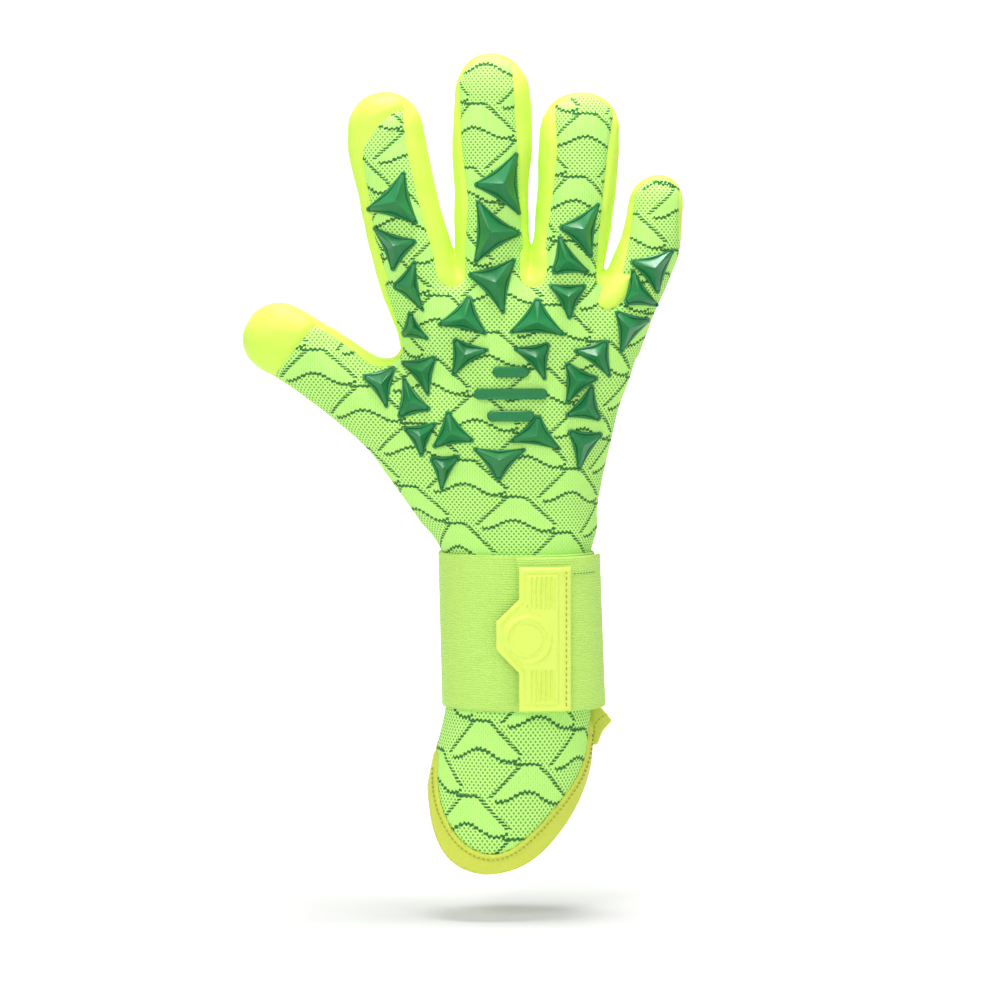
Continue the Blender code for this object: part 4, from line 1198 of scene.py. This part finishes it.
tab, tab_left, tab_right, tab_low, tab_high = strap_tab()
facing_front = sum(f.normal.y < 0 for f in tab.data.polygons) > len(tab.data.polygons) / 2
if not facing_front:
    tab.data.flip_normals()
wall = tab.modifiers.new("back", "SOLIDIFY")
wall.thickness = 0.5 * MM
wall.offset = -1
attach(tab, "strap_flap")
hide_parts("strap_tab")
strap_layer(
    "hook_tape",
    back_angle(tab_left + 2.5, 40, 3),
    back_angle(tab_right - 2.0, 40, 3),
    34.0,
    48.0,
    2.0,
    0.5,
    "hook_and_loop",
    "strap_flap",
    "hook_patch",
    20,
)


def strap_normal(point):
    x, y = point[0] - strap_size(point[2])[0], point[1]
    _, wide, deep = strap_size(point[2])
    slope = np.array([x / wide**2, y / deep**2, 0])
    return slope / np.linalg.norm(slope)


down = [(tab_right - 2.0, z) for z in np.arange(tab_low + 1.5, tab_high - 1.0, 1.0)]
path = [(x, strap_back_y(x, z, TAB_BASE) - 2.1, z) for x, z in down]
stitches("tab_stitches", path, strap_normal, 2.3, 1.5, 0.45, "thread", "strap_flap")
over = [(x, high_z - 7.2) for x in np.arange(tab_right + 0.6, 28.4, 0.6)]
path = [(x, strap_back_y(x, z, 3.9), z) for x, z in over]
stitches("flap_stitches", path, strap_normal, 1.5, 1.0, 0.4, "dark_thread", "strap_flap")

# ---- the pull loop at the cuff ----
low_corner, high_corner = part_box("pull_loop")
loop_x, loop_right, loop_low, loop_top = flat_box("pull_loop")
loop_edge = [
    (loop_x - 3.4, loop_top - 0.4),
    (loop_x + 1.6, loop_top + 0.6),
    (loop_right, 4.6),
    (loop_right - 3.6, 0.6),
    (loop_x + 0.8, loop_low + 0.6),
    (loop_x - 3.0, loop_low + 1.0),
]
mid_y = (low_corner.y + high_corner.y) / 2 / MM
pts = [(x, mid_y - 1.2, z) for x, z in loop_edge] + [(x, mid_y + 1.2, z) for x, z in loop_edge]
faces = [tuple(range(6)), tuple(range(11, 5, -1))]
faces += [(i, i + 6, (i + 1) % 6 + 6, (i + 1) % 6) for i in range(6)]
loop = build_mesh("pull_tab", pts, faces, "hem", smooth=True)
soft = loop.modifiers.new("soft", "BEVEL")
soft.width = 0.9 * MM
soft.segments = 4
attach(loop, "pull_loop")
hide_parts("pull_loop")

# ---- studio ----
FLOOR_Z = -0.0705


def studio():
    centre_at = Vector((-8.1, 0, 90.9)) * MM
    world = bpy.data.worlds.new("studio")
    bpy.context.scene.world = world
    world.use_nodes = True
    world.node_tree.nodes["Background"].inputs[0].default_value = (1, 1, 1, 1)
    world.node_tree.nodes["Background"].inputs[1].default_value = 0.62
    path = [(-1.2, FLOOR_Z), (0.9, FLOOR_Z)]
    bend = np.linspace(0.1, 1.57, 14)
    path += [(0.9 + 0.5 * math.sin(t), FLOOR_Z + 0.5 * (1 - math.cos(t))) for t in bend]
    path.append((1.4, 1.1))
    paper, tree, shader = new_material("paper", (0.62, 0.62, 0.62), 1.0, specular=0.0)
    shader.inputs["Emission Color"].default_value = (1, 1, 1, 1)
    place = tree.nodes.new("ShaderNodeNewGeometry")
    parts = tree.nodes.new("ShaderNodeSeparateXYZ")
    tree.links.new(place.outputs["Position"], parts.inputs[0])
    glow = (Num(tree, parts.outputs[1]) / 0.5 - 0.5).math("MULTIPLY", 1.0, clamp=True) * 0.9 + 0.12
    tree.links.new(glow.socket, shader.inputs["Emission Strength"])
    card = new_material("card", (0.8, 0.8, 0.8), 1.0, specular=0.0)[0]
    low_path = [(-4.0, FLOOR_Z - 0.002), (4.0, FLOOR_Z - 0.002)]
    for name, outline, half, look in (("backdrop", path, 0.8, paper), ("floor", low_path, 4.0, card)):
        corners = [(x, y, z) for y, z in outline for x in (-half, half)]
        strips = [(2 * i, 2 * i + 1, 2 * i + 3, 2 * i + 2) for i in range(len(outline) - 1)]
        mesh = bpy.data.meshes.new(name)
        mesh.from_pydata(corners, [], strips)
        mesh.shade_smooth()
        mesh.materials.append(look)
        stand = bpy.data.objects.new(name, mesh)
        bpy.context.scene.collection.objects.link(stand)
    for name, at, size, power in (
        ("key", (-0.7, -1.2, 1.15), 0.5, 8.6),
        ("fill", (0.95, -1.3, 0.25), 0.9, 2.4),
        ("top", (0.0, 0.0, 1.4), 0.5, 20.0),
    ):
        data = bpy.data.lights.new(name, "AREA")
        data.energy = power
        data.size = size
        light = bpy.data.objects.new(name, data)
        light.location = at
        light.rotation_euler = (centre_at - Vector(at)).to_track_quat("-Z", "Y").to_euler()
        bpy.context.scene.collection.objects.link(light)
    data = bpy.data.cameras.new("camera")
    data.lens = 120
    data.sensor_width = 36
    far = 0.387 * 120 / 36
    rise = math.radians(4.0)
    camera = bpy.data.objects.new("camera", data)
    camera.location = centre_at + Vector((0, -math.cos(rise), math.sin(rise))) * far
    camera.rotation_euler = (centre_at - camera.location).to_track_quat("-Z", "Y").to_euler()
    bpy.context.scene.collection.objects.link(camera)
    bpy.context.scene.camera = camera
    bpy.context.scene.view_settings.view_transform = "Standard"
    bpy.context.scene.view_settings.look = "None"


studio()
